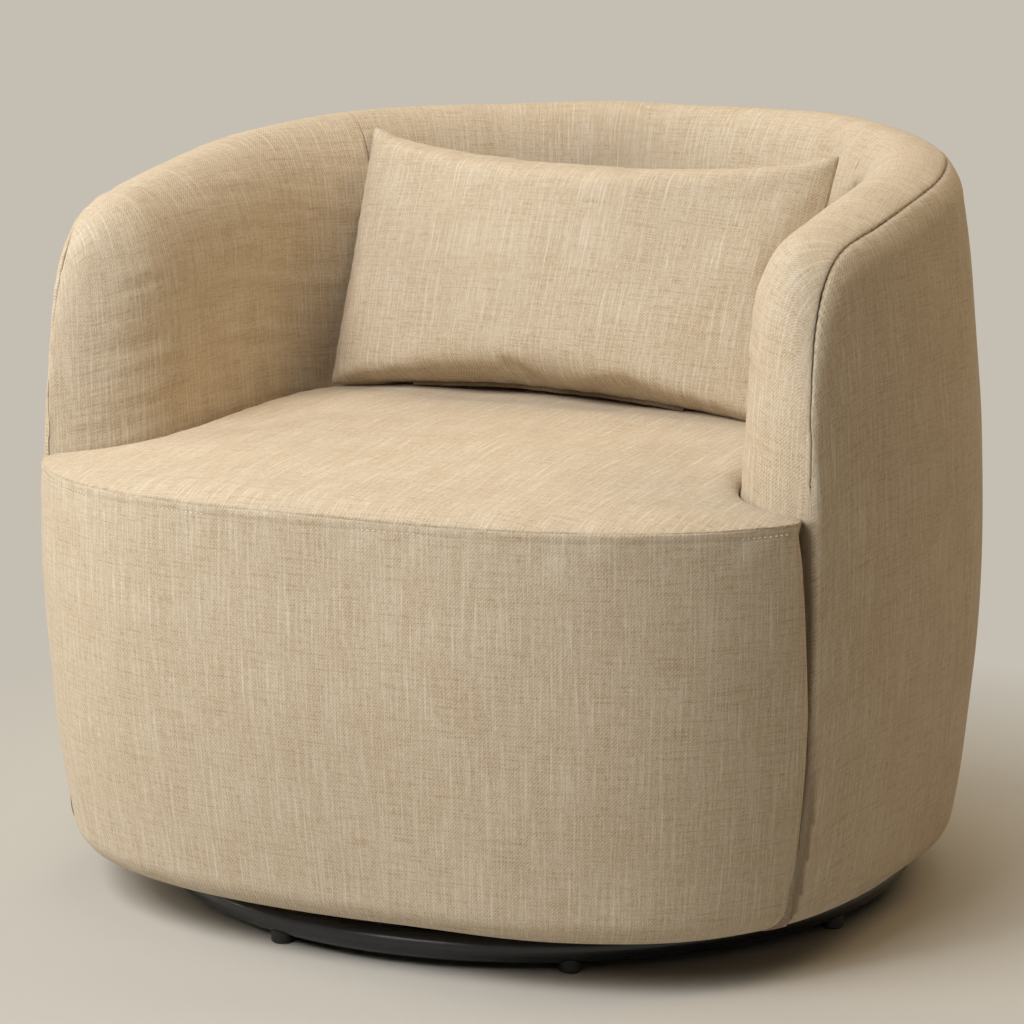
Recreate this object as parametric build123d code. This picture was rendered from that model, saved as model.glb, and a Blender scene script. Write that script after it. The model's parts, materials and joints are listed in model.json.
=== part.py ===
from build123d import *
from math import acos, asin, atan2, cos, degrees, hypot, radians, sin, sqrt
import os

os.makedirs("parts", exist_ok=True)

# Millimetres. The chair faces -Y, the floor is z = 0 and the Z axis is the swivel axis.
# Left and right are as seen by someone who stands in front of the chair.

# Whole chair
chair_width = 840
chair_depth = 830
chair_height = 695
plan_centre_y = 6
back_power = 1.87
front_power = 2.87
widest_z = 321
fabric_bottom_z = 44
bottom_round = 29
bottom_pull_in = 26
top_pull_in = 35

# Barrel wall: its rim falls from the back to the arms, and each arm ends in a rounded nose
rim_fall = 57
rim_front_y = -165
nose_centre_x = 371
nose_radius = 93
nose_fall = 200
nose_fall_power = 2.6
arm_wall = 142
back_wall = 135
arm_lean = 8
back_lean = 17
rim_outer_drop = 42
rim_inner_drop = 95
crest_share = 0.46
wall_low_z = 385
panel_seam_count = 5
outer_seam_angle = 42
inner_seam_angle = 47

# Seat
split_y = -262
split_lean = 15
split_lean_z = 240
seat_seam_z = 402
seat_crown_z = 438
dome_radius = 3333
seat_wall_gap = 4
seat_foam_low_z = 310
felt_width = 512
felt_depth = 470
felt_centre_y = -75

# Layers of the upholstery
cloth = 2.0
layer_gap = 2.0
padding = 12
backing = 3
backing_low_z = 90
backing_high_z = 540
foam = 44
hollow_drop = 60
hollow_front = 4
frame_front = 8
cloth_fold = 90
padding_fold = 62
shoulder = ((-2, 0), (6, 7), (11.5, 18), (48, 60))

# Timber frame
board = 18
board_low_z = 46.5
board_inset = 70
centre_hole_radius = 20
upright_inset = 62
upright_half_width = 30
arm_upright_y = -128
rail_low_z = 282
rail_width = 48
rail_gap = 3.5
shelf_length = 512
shelf_depth = 24
arm_rail_z = 530
back_rail_z = 590
top_rail_near = 40
top_rail_far = 78
block_length = 44
block_width = 30
block_height = 40

# Swivel base
ring_radius = 346
tube_radius = 12.5
tube_wall = 1.5
glide_height = 8
glide_radius = 10
glide_count = 8
screw_radius = 2
base_turn = 7.5
plate_size = 200
plate_thickness = 2.5
race_radius = 70
ball_radius = 3.5
ball_count = 24
pivot_radius = 8
bolt_radius = 4
bolt_hole_radius = 4.2
bolt_head_radius = 7
bolt_head = 3
through = 200

# Loose lumbar pillow
pillow_width = 508
pillow_height = 262
pillow_thickness = 128
pillow_centre = (-3, 88, 556)
pillow_turn = -7
pillow_lean = -21.4
side_draw_in = 10
top_draw_in = 20
bottom_draw_in = 13
pillow_cloth = 1.8
zip_length = 300
zip_tape = 4


def save(name, shape):
    shape.label = name
    export_step(shape, f"parts/{name}.step")


def group(pieces):
    return Compound(children=list(pieces))


# Plan outline of the chair at its widest height

back_reach = chair_depth / 2 - plan_centre_y
front_reach = chair_depth / 2 + plan_centre_y


def plan_half_width(y):
    reach, power = (back_reach, back_power) if y >= plan_centre_y else (front_reach, front_power)
    return chair_width / 2 * (1 - (abs(y - plan_centre_y) / reach) ** power) ** (1 / power)


def plan_point(angle, reach, power):
    c, s = cos(radians(angle)), sin(radians(angle))
    x = chair_width / 2 * max(c, 0) ** (2 / power)
    y = reach * s ** (2 / power)
    nx = (x / (chair_width / 2)) ** (power - 1) / (chair_width / 2)
    ny = (y / reach) ** (power - 1) / reach
    size = hypot(nx, ny)
    return x, y, nx / size, ny / size


def side_inset(z):
    # how far the outer face stands inside the plan outline at height z
    if z < widest_z:
        return bottom_pull_in * ((widest_z - z) / (widest_z - fabric_bottom_z)) ** 2
    return top_pull_in * ((z - widest_z) / (chair_height - widest_z)) ** 2


def crest_height(y):
    back_y = chair_depth / 2
    share = (back_y - max(y, rim_front_y)) / (back_y - rim_front_y)
    return chair_height - rim_fall * share ** 2


class Station:
    # one upright plane across the wall: a point of the plan outline and the way inwards

    def __init__(self, x, y, dx, dy, thick=0, crest=0, lean=0):
        self.x, self.y, self.dx, self.dy = x, y, dx, dy
        self.thick, self.crest, self.lean = thick, crest, lean

    def at(self, inset, z):
        return Vector(self.x + self.dx * inset, self.y + self.dy * inset, z)

    def mirrored(self):
        return Station(-self.x, self.y, -self.dx, self.dy, self.thick, self.crest, self.lean)


nose_angles = (88, 82, 75, 62, 46, 30, 15)
nose_tip_count = 3
tip_overlap = 0.05
arm_places = (-125, -85, -40)
back_angles = (0, 8, 16, 24, 32, 43, 54, 66, 78, 90)


def nose_stations(gap):
    found = []
    for angle in nose_angles:
        radius = nose_radius - gap
        y = rim_front_y - radius * sin(radians(angle))
        inner_x = nose_centre_x - radius * cos(radians(angle))
        crest = crest_height(y) - nose_fall * (angle / nose_angles[0]) ** nose_fall_power - gap
        x = plan_half_width(y)
        found.append(Station(x, y, -1, 0, x - inner_x, crest, arm_lean * cos(radians(angle))))
    return found


def arm_stations(gap, front_y=rim_front_y):
    found = []
    for y in (front_y,) + arm_places:
        x = plan_half_width(y)
        inner_x = nose_centre_x - nose_radius + gap
        found.append(Station(x, y, -1, 0, x - inner_x, crest_height(y) - gap, arm_lean))
    return found


def back_stations(gap):
    found = []
    for angle in back_angles:
        x, y, nx, ny = plan_point(angle, back_reach, back_power)
        y += plan_centre_y
        share = sin(radians(angle))
        thick = arm_wall + (back_wall - arm_wall) * share - gap
        lean = arm_lean + (back_lean - arm_lean) * share
        found.append(Station(x, y, -nx, -ny, thick, crest_height(y) - gap, lean))
    return found


def both_sides(right):
    left = [station.mirrored() for station in reversed(right)]
    if abs(right[-1].x) < 0.01:
        left = left[1:]
    return right + left


def front_stations(start_y):
    # from the right split line round the front to the left one; the first planes face the arms
    found = []
    start = degrees(asin(((plan_centre_y - start_y) / front_reach) ** (front_power / 2)))
    steps = (
        (0, 0), (0.05, 0.3), (0.11, 0.6), (0.19, 0.85), (0.3, 1),
        (0.43, 1), (0.57, 1), (0.71, 1), (0.85, 1), (1, 1),
    )
    for step, turn in steps:
        angle = start + (90 - start) * step
        x, y, nx, ny = plan_point(angle, front_reach, front_power)
        dx, dy = -(1 - turn) - turn * nx, turn * ny
        size = hypot(dx, dy)
        found.append(Station(x, plan_centre_y - y, dx / size, dy / size))
    return both_sides(found)


# Wall sections, drawn in the plane of one station as (inset, height) points

def rim_point(station, gap, angle):
    # quarter ellipse from the outer side up to the crest
    start_z, start, crest_inset, top = rim_sizes(station, gap)
    across = crest_inset - (crest_inset - start) * cos(radians(angle))
    return station.at(across, start_z + (top - start_z) * sin(radians(angle)))


def rim_sizes(station, gap):
    shrink = sqrt(min(1, station.thick / 130))
    start_z = station.crest - rim_outer_drop * shrink
    start = side_inset(start_z) + gap
    crest_inset = side_inset(start_z) + crest_share * (station.thick - side_inset(start_z))
    return start_z, start, crest_inset, station.crest


def side_arc(station, gap, low_z, high_z):
    middle_z = (low_z + high_z) / 2
    return ThreePointArc(
        station.at(side_inset(low_z) + gap, low_z),
        station.at(side_inset(middle_z) + gap, middle_z),
        station.at(side_inset(high_z) + gap, high_z),
    )


def bottom_arc(station, gap):
    # the fabric turns under the chair on this quarter circle
    round_z = fabric_bottom_z + bottom_round
    centre = side_inset(round_z) + bottom_round
    radius = bottom_round - gap
    points = [
        station.at(centre - radius * sin(radians(a)), round_z - radius * cos(radians(a)))
        for a in (0, 45, 90)
    ]
    return ThreePointArc(*points)


def wall_face(station, gap, low_z):
    # full wall: outer side, rim over the crest, inner side
    start_z, _, crest_inset, top = rim_sizes(station, gap)
    shrink = sqrt(min(1, station.thick / 130))
    inner_z = top - rim_inner_drop * shrink
    high = station.thick - station.lean
    inner = [
        station.at(
            crest_inset + (high - crest_inset) * sin(radians(a)),
            inner_z + (top - inner_z) * cos(radians(a)),
        )
        for a in (0, 22.5, 45, 67.5, 90)
    ]
    low_inner = station.at(station.thick, low_z)
    edges = [
        side_arc(station, gap, low_z, start_z),
        ThreePointArc(*[rim_point(station, gap, a) for a in (0, 22.5, 45)]),
        ThreePointArc(*[rim_point(station, gap, a) for a in (45, 67.5, 90)]),
        ThreePointArc(*inner[0:3]),
        ThreePointArc(*inner[2:5]),
        Line(inner[4], low_inner),
        Line(low_inner, station.at(side_inset(low_z) + gap, low_z)),
    ]
    return make_face(edges)


def outer_strip_face(station, near, far, fold):
    # a layer of the outer side, from the fold under the chair up to the seam below the crest
    near_z, far_z = fabric_bottom_z + near, fabric_bottom_z + far
    round_z = fabric_bottom_z + bottom_round
    rim_near, rim_far = rim_sizes(station, near)[0], rim_sizes(station, far)[0]
    near_rim = [rim_point(station, near, a) for a in (0, outer_seam_angle / 2, outer_seam_angle)]
    far_rim = [rim_point(station, far, a) for a in (outer_seam_angle, outer_seam_angle / 2, 0)]
    centre = side_inset(round_z) + bottom_round
    edges = [
        Line(station.at(fold, near_z), station.at(centre, near_z)),
        bottom_arc(station, near),
        side_arc(station, near, round_z, rim_near),
        ThreePointArc(*near_rim),
        Line(near_rim[2], far_rim[0]),
        ThreePointArc(*far_rim),
        side_arc(station, far, round_z, rim_far),
        bottom_arc(station, far),
        Line(station.at(centre, far_z), station.at(fold, far_z)),
        Line(station.at(fold, far_z), station.at(fold, near_z)),
    ]
    return make_face(edges)


def side_strip_face(station, near, far, low_z, high_z):
    # a layer of the side between two heights
    edges = [
        side_arc(station, near, low_z, high_z),
        Line(
            station.at(side_inset(high_z) + near, high_z),
            station.at(side_inset(high_z) + far, high_z),
        ),
        side_arc(station, far, low_z, high_z),
        Line(
            station.at(side_inset(low_z) + near, low_z),
            station.at(side_inset(low_z) + far, low_z),
        ),
    ]
    return make_face(edges)


def front_strip_face(station, near, far, fold, high_z):
    # a layer of the front, from the fold under the chair up to the seat seam
    near_z, far_z = fabric_bottom_z + near, fabric_bottom_z + far
    round_z = fabric_bottom_z + bottom_round
    centre = side_inset(round_z) + bottom_round
    edges = [
        Line(station.at(fold, near_z), station.at(centre, near_z)),
        bottom_arc(station, near),
        side_arc(station, near, round_z, high_z),
        Line(
            station.at(side_inset(high_z) + near, high_z),
            station.at(side_inset(high_z) + far, high_z),
        ),
        side_arc(station, far, round_z, high_z),
        bottom_arc(station, far),
        Line(station.at(centre, far_z), station.at(fold, far_z)),
        Line(station.at(fold, far_z), station.at(fold, near_z)),
    ]
    return make_face(edges)


def upright_rectangle(station, near, far, low_z, high_z):
    corners = [
        station.at(near, low_z),
        station.at(far, low_z),
        station.at(far, high_z),
        station.at(near, high_z),
    ]
    return make_face([Line(corners[i], corners[(i + 1) % 4]) for i in range(4)])


# Plan strips for rails and boards

def arc_chain(points):
    # arcs through every three neighbouring points; an odd number of points
    return [ThreePointArc(*points[i:i + 3]) for i in range(0, len(points) - 2, 2)]


def plan_strip(stations, near, far, low_z, thickness):
    outer = [s.at(near, low_z) for s in stations]
    inner = [s.at(far, low_z) for s in stations]
    edges = arc_chain(outer) + arc_chain(inner)
    edges += [Line(outer[0], inner[0]), Line(outer[-1], inner[-1])]
    return extrude(make_face(edges), amount=thickness, dir=(0, 0, 1))


def mirror_x(shape):
    return mirror(shape, about=Plane.YZ)


# Barrel upholstery

def full_path(gap=0, skipped=0):
    right = nose_stations(gap)[skipped:] + arm_stations(gap) + back_stations(gap)
    return both_sides(right)


def frame_path(gap):
    return both_sides(arm_stations(gap, rim_front_y + hollow_front) + back_stations(gap))


def back_zone():
    # everything behind the two panel seams
    seam = back_stations(0)[panel_seam_count - 1]
    right = [seam.at(inset, 0) for inset in (-80, 170)]
    left = [Vector(-p.X, p.Y, 0) for p in reversed(right)]
    far = [Vector(-600, 600, 0), Vector(600, 600, 0)]
    corners = right + left + far
    sides = [Line(corners[i - 1], corners[i]) for i in range(len(corners))]
    return extrude(make_face(sides), amount=chair_height + 50, dir=(0, 0, 1))


def right_arm_part(whole):
    return (whole - back_zone()).solids().sort_by(Axis.X)[-1]


def back_part(whole):
    return whole & back_zone()


def rim_arcs(station, across, down, start_angle):
    # the curve over the crest, from the outer seam to the inner side, moved in by a thickness
    start_z, start, crest_inset, top = rim_sizes(station, across)
    rise = top - start_z
    shrink = rise / rim_outer_drop
    high = station.thick - station.lean - across

    def outer(angle):
        inset = crest_inset - (crest_inset - start) * cos(radians(angle))
        return station.at(inset, start_z - down + rise * sin(radians(angle)))

    def inner(angle):
        inset = crest_inset + (high - crest_inset) * sin(radians(angle))
        return station.at(inset, top - down - rim_inner_drop * shrink * (1 - cos(radians(angle))))

    chains = (
        [outer(a) for a in (start_angle, start_angle / 2 + 45, 90)],
        [inner(a) for a in (0, 22.5, 45)],
        [inner(a) for a in (45, 67.5, 90)],
    )
    low = station.at(station.thick - across, wall_low_z)
    return [ThreePointArc(*chain) for chain in chains], chains[0][0], chains[2][2], low


def cover_face(station, across, down):
    near_arcs, near_start, near_end, near_low = rim_arcs(station, 0, 0, inner_seam_angle)
    far_arcs, far_start, far_end, far_low = rim_arcs(station, across, down, inner_seam_angle)
    links = [
        Line(near_end, near_low),
        Line(near_low, far_low),
        Line(far_low, far_end),
        Line(far_start, near_start),
    ]
    return make_face(near_arcs + far_arcs + links)


def tip_face(station):
    # the whole inner part of the section, up to the outer seam
    arcs, start, end, low = rim_arcs(station, 0, 0, inner_seam_angle)
    start_low = Vector(start.X, start.Y, wall_low_z)
    return make_face(arcs + [Line(end, low), Line(low, start_low), Line(start_low, start)])


def nose_skins():
    # the nose is cut at a slant by its upright planes, so the cloth measures more across them
    faces = []
    for angle, station in zip(nose_angles, nose_stations(0)):
        fall = nose_fall * nose_fall_power / nose_angles[0]
        fall *= (angle / nose_angles[0]) ** (nose_fall_power - 1)
        slope = fall / (nose_radius * cos(radians(angle)) * radians(1))
        faces.append(cover_face(station, cloth / cos(radians(angle)), cloth * hypot(1, slope)))
    return faces


def inner_skin():
    # cloth over the crest and down the inner side, all round the barrel
    noses = nose_skins()[nose_tip_count - 1:]
    right = [cover_face(s, cloth, cloth) for s in arm_stations(0) + back_stations(0)]
    half = noses + right
    return loft(half + [mirror_x(face) for face in reversed(half[:-1])])


def arm_cover():
    tip = loft([tip_face(station) for station in nose_stations(0)[:nose_tip_count]])
    return right_arm_part(inner_skin()) + Pos(0, tip_overlap, 0) * tip


def back_cover():
    return back_part(inner_skin())


def inner_foam():
    # foam over the crest and down the inner side, hollowed behind for the timber frame
    near = cloth + layer_gap
    block = loft([wall_face(s, near, wall_low_z + 1) for s in full_path(near)])
    hollow = loft([
        upright_rectangle(s, -30, s.thick - foam, 200, s.crest - hollow_drop)
        for s in frame_path(near)
    ])
    return block - hollow


def outer_padding():
    # wadding between the cloth and the frame, up to the foam below the rim
    near = cloth + layer_gap
    far = near + padding
    meet_z = wall_low_z - 5
    lower = [front_strip_face(s, near, far, padding_fold, meet_z) for s in full_path(0, 1)]
    upper = [
        side_strip_face(s, near, far, meet_z, s.crest - hollow_drop - 8) for s in frame_path(0)
    ]
    return loft(lower) + loft(upper)


def outer_cover():
    return loft([outer_strip_face(s, 0, cloth, cloth_fold) for s in full_path()])


def barrel_backing():
    near = cloth + padding + 2 * layer_gap
    stations = arm_stations(0, rim_front_y + frame_front) + back_stations(0)
    return loft([
        side_strip_face(s, near, near + backing, backing_low_z, backing_high_z)
        for s in both_sides(stations)
    ])


# Seat

def seat_plan(front_gap, wall_gap, z):
    # closed outline: round the front, in along the arm noses, back along the inner wall
    wall_x = nose_centre_x - nose_radius - wall_gap
    radius = nose_radius + wall_gap
    stations = front_stations(rim_front_y - radius - 0.2)
    front = [s.at(side_inset(seat_seam_z) + front_gap, z) for s in stations]
    inner = [s.at(s.thick + wall_gap, z) for s in both_sides(back_stations(0))]
    inner[0] = Vector(wall_x, plan_centre_y, z)
    inner[-1] = Vector(-wall_x, plan_centre_y, z)
    last = degrees(acos(max(0.03, (nose_centre_x + 1 - front[0].X) / radius)))

    def nose(side):
        return [
            Vector(
                side * (nose_centre_x - radius * cos(radians(a))),
                rim_front_y - radius * sin(radians(a)),
                z,
            )
            for a in (0, last / 2, last)
        ]

    right, left = nose(1), nose(-1)
    edges = arc_chain(front) + arc_chain(inner)
    edges += [Line(front[0], right[2]), ThreePointArc(*right), Line(right[0], inner[0])]
    edges += [Line(front[-1], left[2]), ThreePointArc(*left), Line(left[0], inner[-1])]
    return make_face(edges)


def closed_plan(inset, z):
    # the whole plan outline, front and back, moved inwards
    front = []
    for angle in (0, 14, 26, 36, 46, 56, 65, 74, 81, 86.5, 90):
        x, y, nx, ny = plan_point(angle, front_reach, front_power)
        front.append(Station(x, plan_centre_y - y, -nx, ny))
    inset += side_inset(seat_seam_z)
    ahead = [s.at(inset, z) for s in both_sides(front)]
    behind = [s.at(inset, z) for s in both_sides(back_stations(0))]
    return make_face(arc_chain(ahead) + arc_chain(behind))


def seat_crown(gap, low_z):
    # a round shoulder inside the front seam and a slightly domed top
    sections = [closed_plan(gap, low_z)]
    for rise, inset in shoulder:
        sections.append(closed_plan(gap + inset, seat_seam_z + rise - gap))
    dome = Pos(0, 0, seat_crown_z - gap - dome_radius) * Rot(90, 0, 0) * Sphere(dome_radius)
    return loft(sections, ruled=True) & dome


def seat_block(gap, low_z):
    height = seat_crown_z + 20 - low_z
    outline = seat_plan(gap - 8, seat_wall_gap + gap, low_z)
    return extrude(outline, amount=height, dir=(0, 0, 1)) & seat_crown(gap, low_z - 5)


def split_wedge():
    # the seat block's corners lean away from the arms towards the top
    top_z = 460
    lean = split_lean * (top_z - split_lean_z) / (seat_seam_z - split_lean_z)
    side = Polyline(
        (-500, split_y + 20, split_lean_z - 20),
        (-500, split_y, split_lean_z),
        (-500, split_y - lean, top_z),
        (-500, split_y + 20, top_z),
        close=True,
    )
    whole = extrude(make_face(side), amount=1000, dir=(1, 0, 0))
    middle = Pos(0, split_y, split_lean_z) * Box(2 * (nose_centre_x - nose_radius / 3), 200, 500)
    return whole - middle


def seat_top_cover():
    skin = seat_block(0, seat_seam_z) - seat_block(cloth, seat_seam_z - 10)
    return skin - split_wedge()


def seat_foam():
    near = cloth + layer_gap
    front_room = near + padding + layer_gap
    step_z = seat_seam_z - 14
    outline = seat_plan(front_room, seat_wall_gap + near, seat_foam_low_z)
    low = extrude(outline, amount=step_z - seat_foam_low_z, dir=(0, 0, 1))
    return (low + seat_block(near, step_z)) - split_wedge()


def seat_apron():
    strip = loft([
        front_strip_face(s, 0, cloth, cloth_fold, seat_seam_z - 0.5)
        for s in front_stations(split_y + 3)
    ])
    return strip - split_wedge()


def front_padding():
    near = cloth + layer_gap
    strip = loft([
        front_strip_face(s, near, near + padding, padding_fold, seat_seam_z - 16)
        for s in front_stations(split_y + 3)
    ])
    return strip - split_wedge()


def front_backing():
    near = cloth + padding + 2 * layer_gap
    return loft([
        side_strip_face(s, near, near + backing, backing_low_z, seat_foam_low_z - 12)
        for s in front_stations(split_y + 3)
    ])


def seat_felt():
    return Pos(0, felt_centre_y, seat_foam_low_z - 2.1) * Box(felt_width, felt_depth, 3.6)


# Springs: flat zigzag wires from the front rail to the back rail

spring_wire = 1.9
spring_count = 5
spring_pitch = 96
spring_front_y = -318
spring_back_y = 205
spring_half_width = 20
spring_loops = 17
spring_z = 302.4


def spring_path(x):
    # half circles joined by short straights, left and right by turns
    step = (spring_back_y - spring_front_y) / spring_loops
    radius = step / 2
    edges = []
    y = spring_front_y
    side = 1
    edges.append(Line((x, y, spring_z), (x + spring_half_width, y, spring_z)))
    for index in range(spring_loops):
        turn_x = x + side * spring_half_width
        edges.append(ThreePointArc(
            (turn_x, y, spring_z),
            (turn_x + side * radius, y + radius, spring_z),
            (turn_x, y + step, spring_z),
        ))
        y += step
        end_x = x if index == spring_loops - 1 else x - side * spring_half_width
        edges.append(Line((turn_x, y, spring_z), (end_x, y, spring_z)))
        side = -side
    return Wire(edges)


def seat_springs():
    springs = []
    for index in range(spring_count):
        x = (index - (spring_count - 1) / 2) * spring_pitch
        path = spring_path(x)
        section = Plane(origin=path @ 0, z_dir=path % 0) * Circle(spring_wire)
        springs.append(sweep(section, path=path))
    return group(springs)


def spring_clips():
    clips = []
    for index in range(spring_count):
        x = (index - (spring_count - 1) / 2) * spring_pitch
        for y in (spring_front_y, spring_back_y):
            clip = Pos(x, y, rail_low_z + board + 2.9) * Box(16, 14, 5.4)
            room = Pos(x, y, spring_z - 0.5) * Box(50, 2 * spring_wire + 0.6, 2 * spring_wire + 1.2)
            clips.append(clip - room)
    return group(clips)


# Timber frame

def plan_sheet(inset, low_z, thickness):
    # a flat sheet of the whole plan, front and barrel
    front = [s.at(inset, low_z) for s in front_stations(split_y)]
    rest = [s.at(inset, low_z) for s in both_sides(arm_stations(0) + back_stations(0))]
    edges = arc_chain(front) + arc_chain(rest)
    edges += [Line(front[0], rest[0]), Line(front[-1], rest[-1])]
    return extrude(make_face(edges), amount=thickness, dir=(0, 0, 1))


def base_board():
    holes = bolt_circle(upper_bolt_places(), bolt_hole_radius)
    return plan_sheet(board_inset, board_low_z, board) - Cylinder(centre_hole_radius, through) - holes


def upper_bolt_places():
    reach = plate_size / 2 - 16
    return [(a * reach, b * reach) for a in (-1, 1) for b in (-1, 1)]


def bolt_circle(places, radius):
    return [Pos(x, y, 0) * Cylinder(radius, through) for x, y in places]


def deck_rail(stations):
    near = upright_inset + board + rail_gap
    return plan_strip(stations, near, near + rail_width, rail_low_z, board)


def front_rail():
    path = front_stations(split_y)
    rail = plan_strip(path, cloth + padding + 8, upright_inset + board + 2, rail_low_z, board)
    shelf_y = spring_front_y - 8
    shelf = Pos(0, shelf_y, rail_low_z + board / 2) * Box(shelf_length, shelf_depth, board)
    return rail + shelf


def side_rail():
    path = arm_stations(0)[1:] + back_stations(0)[:2]
    return deck_rail(path)


def back_rail():
    path = both_sides(back_stations(0)[2:])
    return plan_strip(path, upright_inset + board + 2, 190, rail_low_z, board)


def upright_at(station, half_width, low_z, high_z):
    # a plywood upright standing square to the way inwards
    middle = station.at(upright_inset + board / 2, (low_z + high_z) / 2)
    turn = degrees(atan2(station.dy, station.dx))
    return Location((middle.X, middle.Y, middle.Z), (0, 0, turn)) * Box(
        board, 2 * half_width, high_z - low_z
    )


board_top_z = board_low_z + board


def arm_place():
    return Station(plan_half_width(arm_upright_y + 3), arm_upright_y, -1, 0)


def arm_upright():
    return upright_at(arm_place(), upright_half_width + 2, board_top_z, arm_rail_z)


def back_uprights():
    places = back_stations(0)
    posts = []
    for index in (5, 8):
        post = upright_at(places[index], upright_half_width, board_top_z, back_rail_z)
        posts += [post, mirror_x(post)]
    return group(posts)


def rear_arm_upright():
    return upright_at(back_stations(0)[2], upright_half_width, board_top_z, arm_rail_z)


def front_uprights():
    path = front_stations(split_y)
    posts = []
    for index in (4, 7):
        post = upright_at(path[index], upright_half_width, board_top_z, rail_low_z)
        posts += [post, mirror_x(post)]
    return group(posts)


def arm_rail():
    ends = (rim_front_y + frame_front, arm_places[1] + 5)
    path = [Station(plan_half_width(y), y, -1, 0) for y in ends] + back_stations(0)[:3]
    return plan_strip(path, top_rail_near, top_rail_far, arm_rail_z, board)


def back_top_rail():
    path = both_sides(back_stations(0)[3:])
    return plan_strip(path, top_rail_near, top_rail_far, back_rail_z, board)


def corner_blocks():
    # glue blocks between the base board and the uprights
    blocks = []
    for place in [arm_place()] + [back_stations(0)[i] for i in (2, 5, 8)]:
        middle = place.at(upright_inset + board + block_width / 2, board_top_z + block_height / 2)
        turn = degrees(atan2(place.dy, place.dx))
        place_at = Location((middle.X, middle.Y, middle.Z), (0, 0, turn))
        block = place_at * Box(block_width, block_length, block_height)
        blocks += [block, mirror_x(block)]
    return group(blocks)


# Swivel base

def turned(shape):
    return Rot(0, 0, base_turn) * shape


ring_z = glide_height + tube_radius


def at_glides(shape):
    # one copy of a shape at each glide, half-way between the bars and beside them
    step = 360 / glide_count
    return [Rot(0, 0, step * (i + 0.5)) * (Pos(ring_radius, 0, 0) * shape) for i in range(glide_count)]


def base_ring():
    tube = Torus(ring_radius, tube_radius) - Torus(ring_radius, tube_radius - tube_wall)
    taper = Cone(screw_radius + 0.6, screw_radius + 0.5, 10)
    screw_holes = at_glides(Pos(0, 0, -tube_radius) * taper)
    return turned(Pos(0, 0, ring_z) * (tube - screw_holes))


def square_tube(length, along_y):
    side = 2 * tube_radius
    size = (side, length) if along_y else (length, side)
    bore = (side - 2 * tube_wall, length + 2) if along_y else (length + 2, side - 2 * tube_wall)
    tube = Box(size[0], size[1], side) - Box(bore[0], bore[1], side - 2 * tube_wall)
    return Pos(0, 0, ring_z) * tube


def coped(bar):
    # the bar's ends are cut to the ring's round
    cutter = Pos(0, 0, ring_z) * Torus(ring_radius, tube_radius + 0.2)
    return (bar - cutter) & Cylinder(ring_radius, through)


def lower_bolt_places():
    reach = race_radius + 22
    return [(reach, 0), (-reach, 0), (0, reach), (0, -reach)]


def upper_wall_holes():
    holes = bolt_circle(lower_bolt_places(), bolt_hole_radius)
    return [Pos(0, 0, through / 2 + ring_z) * hole for hole in holes]


def base_long_bar():
    bar = coped(square_tube(2 * ring_radius, True))
    return turned(bar - upper_wall_holes())


def base_short_bars():
    whole = coped(square_tube(2 * ring_radius, False))
    middle = Pos(0, 0, 20) * Box(2 * tube_radius + 0.2, 100, 100)
    return turned(whole - middle - upper_wall_holes())


tube_top_z = glide_height + 2 * tube_radius
ball_z = (tube_top_z + board_low_z) / 2


def race(low_z, high_z):
    ring = Cylinder(race_radius + 8, high_z - low_z) - Cylinder(race_radius - 8, high_z - low_z)
    return Pos(0, 0, (low_z + high_z) / 2) * ring - groove()


def groove():
    return Pos(0, 0, ball_z) * Torus(race_radius, ball_radius + 0.3)


def bearing_lower_plate():
    plate = Pos(0, 0, tube_top_z + plate_thickness / 2) * Box(plate_size, plate_size, plate_thickness)
    raised = race(tube_top_z + plate_thickness - 0.1, ball_z - 2.2)
    holes = bolt_circle(lower_bolt_places(), bolt_hole_radius)
    whole = plate + raised - holes - Cylinder(pivot_radius + 0.02, through)
    return turned(whole - groove())


def bearing_upper_plate():
    plate = Pos(0, 0, board_low_z - plate_thickness / 2) * Box(plate_size, plate_size, plate_thickness)
    raised = race(ball_z + 2.2, board_low_z - plate_thickness + 0.1)
    holes = bolt_circle(upper_bolt_places(), bolt_hole_radius)
    return plate + raised - holes - Cylinder(pivot_radius + 0.06, through) - groove()


def pivot_tube():
    # hollow pivot rivet: flush below, flared above the upper plate
    high_z = board_low_z + 2.5
    shank = Pos(0, 0, (tube_top_z + high_z) / 2) * Cylinder(pivot_radius, high_z - tube_top_z)
    flare = Pos(0, 0, board_low_z + 0.5 + 1) * Cylinder(pivot_radius + 5, 2)
    return shank + flare - Cylinder(pivot_radius - 2.5, through)


def bearing_balls():
    return group([
        Rot(0, 0, 360 / ball_count * i) * (Pos(race_radius, 0, ball_z) * Sphere(ball_radius))
        for i in range(ball_count)
    ])


def ball_retainer():
    ring = Cylinder(race_radius + 6, 1.2) - Cylinder(race_radius - 6, 1.2)
    holes = [
        Rot(0, 0, 360 / ball_count * i) * (Pos(race_radius, 0, 0) * Cylinder(ball_radius + 0.15, 5))
        for i in range(ball_count)
    ]
    return Pos(0, 0, ball_z) * (ring - holes)


def lower_plate_bolts():
    bolts = []
    for x, y in lower_bolt_places():
        shank = Pos(x, y, tube_top_z - 5) * Cylinder(bolt_radius, 16)
        head_z = tube_top_z + plate_thickness + bolt_head / 2
        head = Pos(x, y, head_z) * Cylinder(bolt_head_radius, bolt_head)
        bolts.append(shank + head)
    return turned(group(bolts))


def bearing_bolts():
    bolts = []
    low_z = board_low_z - plate_thickness
    high_z = board_low_z + board - 1
    for x, y in upper_bolt_places():
        shank = Pos(x, y, (low_z + high_z) / 2) * Cylinder(bolt_radius, high_z - low_z)
        head = Pos(x, y, low_z - bolt_head / 2) * Cylinder(bolt_head_radius, bolt_head)
        bolts.append(shank + head)
    return group(bolts)


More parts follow.
